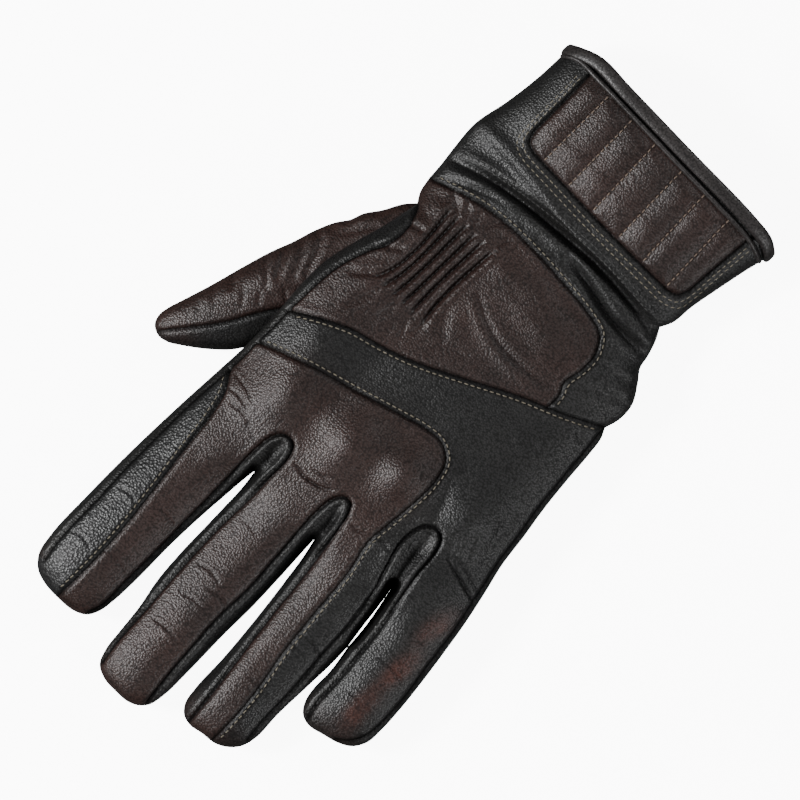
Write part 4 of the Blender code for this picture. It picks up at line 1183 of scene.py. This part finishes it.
def hand_stitches(skin):
    """The rows of stitches on the hand, for make_stitches."""
    rows = {}
    for row in TOPSTITCHES:
        add_row(rows, skin, row, "grey", sink=0.0)
    top = ease((QUILT[:, 1] + 92) / 4)
    add_row(rows, skin, offset(QUILT, 1.5 + 0.8 * top)[12:-12], "grey")
    add_row(rows, skin, offset(QUILT, 2.9 + 1.5 * top)[12:-12], "grey")
    for line in QUILT_LINES:
        add_row(rows, skin, line[1:-3], "brown", sink=-0.3)
    for row in SHIRRING:
        add_row(rows, skin, row, "dark", pitch=2.0, sink=-0.1, size=0.8)
    add_row(rows, skin, offset(TWIN_ROW, 0.9), "dark", pitch=2.1)
    add_row(rows, skin, offset(TWIN_ROW, -0.9), "dark", pitch=2.1)
    for loop in LOOPS:
        add_row(rows, skin, offset(loop, -0.95), "dark", pitch=2.0, size=0.75)
    palm = palm_seam()
    sewn = np.flatnonzero((palm[:, 1] > -74) & (palm[:, 1] < 139))
    for run in np.split(sewn, np.flatnonzero(np.diff(sewn) > 1) + 1):
        if len(run) > 6:
            add_row(rows, skin, offset(palm[run], 1.5), "dark", above=False, size=0.9)
    return rows


# Small pieces ---------------------------------------------------------------------------------------


def edge_path(puff, line, back, step=0.25):
    """A line across the cuff, on one side of its skin."""
    p = resample(line, step)
    return heights(puff, p[inside(p, OUTLINE)], back)


def flat_roll(name, loop, wide, high, sides=24):
    """A closed roll round the cuff's mouth, wider along the cuff than it is thick."""
    outward = np.cross(np.roll(loop, -1, 0) - np.roll(loop, 1, 0), (0, 1, 0))
    outward /= np.linalg.norm(outward, axis=1, keepdims=True)
    if ((loop - loop.mean(0)) * outward).sum() < 0:
        outward = -outward
    turn = 2 * math.pi * np.arange(sides) / sides
    c, s = (np.sign(f(turn)) * np.abs(f(turn)) ** 0.75 for f in (np.cos, np.sin))
    across = wide * c[None, :, None] * np.array([0, 1.0, 0])
    rings = loop[:, None] + across + high * s[None, :, None] * outward[:, None]
    i = np.arange(len(loop) * sides).reshape(len(loop), sides)
    faces = np.stack([i, np.roll(i, -1, 1), np.roll(np.roll(i, -1, 1), -1, 0), np.roll(i, -1, 0)], -1)
    return solid(name, rings.reshape(-1, 3), faces.reshape(-1, 4), angle=60)


def make_binding(puff, materials):
    """The roll round the cuff's mouth, and the thin cord beside it on the back."""
    loop = np.concatenate([edge_path(puff, MOUTH, True), edge_path(puff, MOUTH, False)[::-1]])
    loop = resample(closed(loop), 1.2)[:-1]
    for _ in range(4):  # rounds its corners
        loop = (np.roll(loop, 1, 0) + 2 * loop + np.roll(loop, -1, 0)) / 4
    roll = flat_roll("cuff_binding_roll", loop, 2.55, 1.5)
    dress(roll, materials["binding"], "cuff")
    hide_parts("cuff_binding")
    path = edge_path(puff, CORD, True, 0.6) + (0, 0, 0.25)
    cord = tube("cuff_piping_cord", resample(path, 0.8), 0.85, sides=10)
    dress(cord, materials["binding"], "cuff")


def lining_pieces(skin, materials):
    """The fleece inside the cuff and the hand, that shows in the mouth."""
    middle = skin.points[skin.triangles].mean(1)
    edge = y_at(MOUTH, middle[:, 0])
    stretches = (("cuff_fleece", -200, -75, "cuff_lining"), ("hand_fleece", -75, -10, "hand_lining"))
    for name, low, high, node in stretches:
        here = (middle[:, 1] > np.maximum(edge + 1.4, low)) & (middle[:, 1] < high)
        thing = shell(name, skin, skin.triangles[here], 1.0, under=LEATHER + 0.25)
        dress(thing, materials["fleece"], "wrist")
        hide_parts(node)


def slab(name, outline, z0, z1, spacing):
    """A soft flat strip with rounded edges, between two heights."""
    p, triangles = triangulate(outline, [], spacing)
    d = away(p, closed(outline), 30)
    d[d < 0.01] = 0
    triangles = triangles[(d[triangles] > 0).any(1)]  # none that lies along the rim
    round_off = np.sqrt(1 - (1 - np.clip(d / 0.7, 0, 1)) ** 2)
    dip = 0.22 * gauss(d - 2.4, 0.5)
    half = (z1 - z0) / 2
    middle = (z0 + z1) / 2
    top = np.column_stack([p, middle + half * round_off])
    low = np.column_stack([p, middle - half * round_off + dip])
    skin = Skin(top, triangles, low, triangles, np.full(2 * len(triangles), name))
    skin.press(np.zeros(len(skin.points)))
    return solid(name, skin.points, skin.triangles), skin


def rounded(x0, x1, y0, y1, r):
    """A rounded rectangle, counter-clockwise."""
    corners = []
    centres = ((x1 - r, y0 + r), (x1 - r, y1 - r), (x0 + r, y1 - r), (x0 + r, y0 + r))
    for (x, y), start in zip(centres, (-90, 0, 90, 180)):
        turns = [math.radians(start + a) for a in np.linspace(0, 90, 12)]
        corners += [(x + r * math.cos(turn), y + r * math.sin(turn)) for turn in turns]
    corners = np.array(corners + corners[:1])
    return resample(corners, 0.9)[:-1]


def palm_pieces(materials, rows):
    """The closure tab under the cuff and the patch on the palm, each with its stitches."""
    for name, node, corner, z0, z1, spacing, slot, body, insets in (
        ("closure_tab_strap", "closure_tab", 7, 0.15, 1.4, 2.0, "leather_black", "closure", (2.4,)),
        ("palm_patch_leather", "palm_patch", 16, 0.1, 2.2, 1.6, "leather_brown", "hand", (2.4, 4.0)),
    ):
        low, high = (np.array(v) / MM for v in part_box(node))
        outline = rounded(low[0], high[0], low[1], high[1], corner)
        thing, skin = slab(name, outline, z0, z1, spacing)
        dress(thing, materials[slot], body)
        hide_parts(node)
        for inset in insets:
            add_row(rows, skin, offset(closed(outline), inset), "grey", above=False, zone=body)


def under_pieces(skin, materials):
    """The protector and the elastic, under the leather of the back."""
    middle = skin.points[skin.triangles].mean(1)
    back = skin.on_back[skin.triangles].all(1)
    oval = ((middle[:, 0] - 15.5) / 31) ** 4 + ((middle[:, 1] - 21) / 12) ** 4 < 1
    band = (np.abs(middle[:, 0] - 33) < 10.5) & (np.abs(middle[:, 1] + 35.5) < 17)
    for name, here, thick, material, node, slot in (
        ("knuckle_protector_shell", oval, 2.2, "protector", "knuckle_protector", "protector"),
        ("wrist_elastic_band", band, 0.9, "elastic", "wrist_elastic", "elastic"),
    ):
        thing = shell(name, skin, skin.triangles[here & back], thick, under=LEATHER + 0.3)
        dress(thing, materials[material], "hand")
        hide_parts(node)


# Materials ------------------------------------------------------------------------------------------


class Nodes:
    """A material's node tree, with short calls for its parts."""

    def __init__(self, name):
        self.material = bpy.data.materials.new(name)
        self.material.use_nodes = True
        self.tree = self.material.node_tree
        self.shader = self.tree.nodes["Principled BSDF"]
        self.place = self.tree.nodes.new("ShaderNodeTexCoord").outputs["Object"]

    def link(self, a, b):
        self.tree.links.new(a, b)

    def noise(self, scale, detail=3, rough=0.5):
        node = self.tree.nodes.new("ShaderNodeTexNoise")
        node.inputs["Scale"].default_value = scale
        node.inputs["Detail"].default_value = detail
        node.inputs["Roughness"].default_value = rough
        self.link(self.place, node.inputs["Vector"])
        return node.outputs["Fac"]

    def cells(self, scale):
        node = self.tree.nodes.new("ShaderNodeTexVoronoi")
        node.inputs["Scale"].default_value = scale
        self.link(self.place, node.inputs["Vector"])
        return node.outputs["Distance"]

    def math(self, operation, a, b=0.0, c=0.0):
        node = self.tree.nodes.new("ShaderNodeMath")
        node.operation = operation
        for socket, value in zip(node.inputs, (a, b, c)):
            if isinstance(value, (int, float)):
                socket.default_value = value
            else:
                self.link(value, socket)
        return node.outputs[0]

    def ramp(self, value, low, high, a=(0, 0, 0), b=(1, 1, 1)):
        node = self.tree.nodes.new("ShaderNodeValToRGB")
        for element, at, colour in zip(node.color_ramp.elements, (low, high), (a, b)):
            element.position, element.color = at, (*colour, 1)
        self.link(value, node.inputs["Fac"])
        return node.outputs["Color"]

    def mix(self, factor, a, b, blend="MIX"):
        node = self.tree.nodes.new("ShaderNodeMix")
        node.data_type, node.blend_type = "RGBA", blend
        for socket, value in ((node.inputs[0], factor), (node.inputs[6], a), (node.inputs[7], b)):
            if isinstance(value, tuple):
                socket.default_value = (*value, 1)
            elif isinstance(value, (int, float)):
                socket.default_value = value
            else:
                self.link(value, socket)
        return node.outputs[2]

    def attribute(self, name):
        node = self.tree.nodes.new("ShaderNodeAttribute")
        node.attribute_name = name
        return node.outputs["Fac"]

    def bump(self, height, distance):
        node = self.tree.nodes.new("ShaderNodeBump")
        node.inputs["Strength"].default_value = 1.0
        node.inputs["Distance"].default_value = distance
        self.link(height, node.inputs["Height"])
        self.link(node.outputs["Normal"], self.shader.inputs["Normal"])


def leather(name, dark, light, rubbed, grain=0.75, rough=(0.32, 0.44), depth=0.00009):
    """Pebbled leather, its grain in millimetres, paler where it is rubbed, and painted near black and less
    shiny as shade in its seams, creases, rows of stitches and the hollows between fingers.
    """
    n = Nodes(name)
    scale = 1000 / grain
    pebbles = n.cells(scale)
    fine = n.noise(scale * 1.5, 4, 0.6)
    # the painted shade of seams, creases, stitch rows and finger hollows, from the skin
    crease_shade = n.attribute("crease_shade")
    colour = n.mix(n.ramp(n.noise(38, 5, 0.6), 0.35, 0.68), dark, light)
    patches = n.ramp(n.noise(120, 3, 0.6), 0.25, 0.6, (0.35, 0.35, 0.35))
    colour = n.mix(n.math("MULTIPLY", n.attribute("wear"), patches), colour, rubbed)
    colour = n.mix(1.0, colour, n.ramp(pebbles, 0.4, 0.75, (1, 1, 1), (0.4, 0.4, 0.4)), "MULTIPLY")
    # painted shade: the colour goes near black in seams, creases and hollows
    colour = n.mix(n.math("MULTIPLY", crease_shade, 0.85), colour, (0.002, 0.002, 0.002))
    n.link(colour, n.shader.inputs["Base Color"])
    glossy = n.math("MULTIPLY_ADD", n.noise(60, 4), rough[1] - rough[0], rough[0])
    n.link(n.math("MULTIPLY_ADD", pebbles, 0.18, glossy), n.shader.inputs["Roughness"])
    n.shader.inputs["IOR"].default_value = 1.45
    shine = n.ramp(pebbles, 0.35, 0.75, (0.5, 0.5, 0.5), (0.3, 0.3, 0.3))
    # the painted shade also dims the specular in seams, creases and hollows
    unshaded = n.math("MULTIPLY_ADD", crease_shade, -0.9, 1.0)
    n.link(n.math("MULTIPLY", shine, unshaded), n.shader.inputs["Specular IOR Level"])
    n.bump(n.math("MULTIPLY_ADD", pebbles, -2.0, n.math("MULTIPLY", fine, 0.7)), depth)
    return n.material


def cloth(name, dark, light, scale, depth, sheen=0.3):
    """Fleece, loops or woven elastic, of curls about 1/scale metres wide."""
    n = Nodes(name)
    curls = n.noise(scale, 5, 0.7)
    n.link(n.mix(n.ramp(curls, 0.3, 0.7), dark, light), n.shader.inputs["Base Color"])
    n.shader.inputs["Roughness"].default_value = 0.95
    n.shader.inputs["Sheen Weight"].default_value = sheen
    n.bump(n.math("ADD", curls, n.cells(scale * 0.8)), depth)
    return n.material


def thread(name, dark, light):
    """Twisted thread, uneven in colour."""
    n = Nodes(name)
    twist = n.tree.nodes.new("ShaderNodeTexWave")
    twist.inputs["Scale"].default_value = 900
    twist.bands_direction = "DIAGONAL"
    n.link(n.place, twist.inputs["Vector"])
    tint = n.math("MULTIPLY_ADD", n.noise(240, 3), 0.7, n.math("MULTIPLY", twist.outputs["Fac"], 0.3))
    n.link(n.mix(tint, dark, light), n.shader.inputs["Base Color"])
    n.shader.inputs["Roughness"].default_value = 0.7
    n.bump(twist.outputs["Fac"], 0.00008)
    return n.material


def plastic(name, dark, light, scale, depth, rough):
    """Foam or moulded plastic with a fine grain."""
    n = Nodes(name)
    n.link(n.mix(n.ramp(n.noise(90, 4), 0.3, 0.7), dark, light), n.shader.inputs["Base Color"])
    n.shader.inputs["Roughness"].default_value = rough
    n.bump(n.cells(scale), depth)
    return n.material


def make_materials():
    """Every material by its name: what makes it, its colours from dark to light, and its grain."""
    makers = {
        "leather_brown": (leather, (0.0105, 0.0048, 0.0036), (0.0205, 0.0094, 0.0072),
                          (0.034, 0.0165, 0.013)),
        "leather_black": (leather, (0.0032, 0.0032, 0.0031), (0.0074, 0.0072, 0.0068),
                          (0.037, 0.0115, 0.0075)),
        "leather_coarse": (leather, (0.0028, 0.0028, 0.0029), (0.0065, 0.0065, 0.0066), (0.03, 0.03, 0.03),
                           0.9, (0.30, 0.40), 0.0001),
        "binding": (leather, (0.013, 0.0108, 0.0105), (0.024, 0.0205, 0.020), (0.04, 0.038, 0.036),
                    0.7, (0.34, 0.42), 0.00003),
        "thread_grey": (thread, (0.05, 0.043, 0.03), (0.135, 0.117, 0.084)),
        "thread_brown": (thread, (0.06, 0.04, 0.028), (0.14, 0.10, 0.073)),
        "thread_dark": (thread, (0.008, 0.008, 0.008), (0.035, 0.034, 0.032)),
        "fleece": (cloth, (0.012, 0.012, 0.012), (0.05, 0.049, 0.048), 700, 0.0012),
        "elastic": (cloth, (0.01, 0.01, 0.01), (0.03, 0.03, 0.03), 1400, 0.0003, 0.1),
        "hook_loop": (cloth, (0.006, 0.006, 0.006), (0.03, 0.03, 0.03), 1500, 0.0008, 0.1),
        "protector": (plastic, (0.01, 0.01, 0.011), (0.02, 0.02, 0.021), 500, 0.0002, 0.5),
    }
    return {name: maker(name, *looks) for name, (maker, *looks) in makers.items()}


def slot_of(piece):
    """The record's material slot for a leather piece."""
    panels = ("knuckle_panel", "wrist_panel", "quilted_panel", "thumb_back", "thumb_tip_back", "thumb_gusset")
    middle_back = piece.startswith("middle") and piece.endswith("_back")
    brown = piece in panels or piece.endswith("inner_back") or middle_back
    return "leather_brown" if brown else "leather_black"


def nodes_of(piece):
    """The CAD nodes that a leather piece stands for."""
    words = piece.split("_")
    if piece in frame["nodes"]:
        return [piece]
    if words[0] in FINGERS and words[1] == "tip":
        return [words[0] + "_fingertip"]
    if piece.startswith("thumb_tip"):
        return ["thumb_tip"]
    return ["knuckle_panel"] if piece == "index_root_outer_back" else []


def make_leather(skin, materials):
    """Cuts a skin into its leather pieces."""
    for name in map(str, np.unique(skin.labels)):
        thing = shell(name + "_leather", skin, skin.triangles[skin.labels == name])
        coarse = "outer_back" in name and name.startswith("index")
        material = materials["leather_coarse" if coarse else slot_of(name)]
        dress(thing, material, zone_of(name))
        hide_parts(*nodes_of(name))


# Camera, floor and lights ---------------------------------------------------------------------------

# The picture's right and up in the frame, what it centres on and how much it shows, in metres
VIEW_RIGHT, VIEW_UP = Vector((-0.7004, -0.7134, 0)), Vector((0.7134, -0.7004, 0))
VIEW_CENTRE, VIEW_WIDTH, LENS, SENSOR = Vector((0.0086, 0.0063, 0.012)), 0.280, 500.0, 36.0


def make_camera():
    """Straight above the glove, turned so that the fingers point to the picture's lower left."""
    data = bpy.data.cameras.new("camera")
    data.lens, data.sensor_width, data.clip_end = LENS, SENSOR, 100
    camera = make_object("camera", data)
    camera.location = VIEW_CENTRE + Vector((0, 0, VIEW_WIDTH * LENS / SENSOR))
    camera.rotation_euler = Matrix((VIEW_RIGHT, VIEW_UP, Vector((0, 0, 1)))).transposed().to_euler()
    bpy.context.scene.camera = camera


FLOOR_HALF, FLOOR_Z = 3000, -0.3  # in millimetres


def make_stage():
    """A pale floor, a faint even light and four soft lamps that face the glove."""
    corners = [(x * FLOOR_HALF, y * FLOOR_HALF, FLOOR_Z) for x, y in ((-1, -1), (1, -1), (1, 1), (-1, 1))]
    floor = solid("floor", corners, [(0, 1, 2, 3)])
    n = Nodes("floor")
    tint = n.ramp(n.noise(3, 2), 0.3, 0.7, (0.9, 0.9, 0.9), (0.93, 0.93, 0.93))
    n.link(tint, n.shader.inputs["Base Color"])
    n.shader.inputs["Roughness"].default_value = 0.95
    n.shader.inputs["Emission Color"].default_value = (1, 1, 1, 1)
    n.shader.inputs["Emission Strength"].default_value = 9.0
    floor.data.materials.append(n.material)
    floor.visible_diffuse = floor.visible_glossy = False  # the floor doesn't light the glove's sides
    world = bpy.data.worlds.new("studio")
    world.use_nodes = True
    world.node_tree.nodes["Background"].inputs["Color"].default_value = (1, 1, 1, 1)
    world.node_tree.nodes["Background"].inputs["Strength"].default_value = 0.15
    bpy.context.scene.world = world
    for name, place, size, power in (
        ("key", (1.0, 0.8, 1.1), 0.4, 57),
        ("tips", (0.35, 1.3, 0.75), 0.4, 7),
        ("fill", (-0.3, -1.3, 0.9), 0.5, 10),
        ("side", (-1.4, 0.1, 0.65), 0.5, 13),
    ):
        light = bpy.data.lights.new(name, "AREA")
        light.size, light.energy = size, power
        lamp = make_object(name, light)
        lamp.location = place
        lamp.rotation_euler = (-Vector(place)).to_track_quat("-Z", "Y").to_euler()


def main():
    """Builds the glove, and gives the two pads that the CAD shows their own material."""
    materials = make_materials()
    make_camera()
    make_stage()
    hand, puff = build_hand()
    make_leather(hand, materials)
    make_leather(build_thumb(), materials)
    lining_pieces(hand, materials)
    under_pieces(hand, materials)
    make_binding(puff, materials)
    rows = hand_stitches(hand)
    palm_pieces(materials, rows)
    make_stitches(rows, materials)
    for name in ("closure_hook_pad", "cuff_loop_pad"):
        pads = frame["nodes"][name].data.materials
        pads.clear()
        pads.append(materials["hook_loop"])


main()
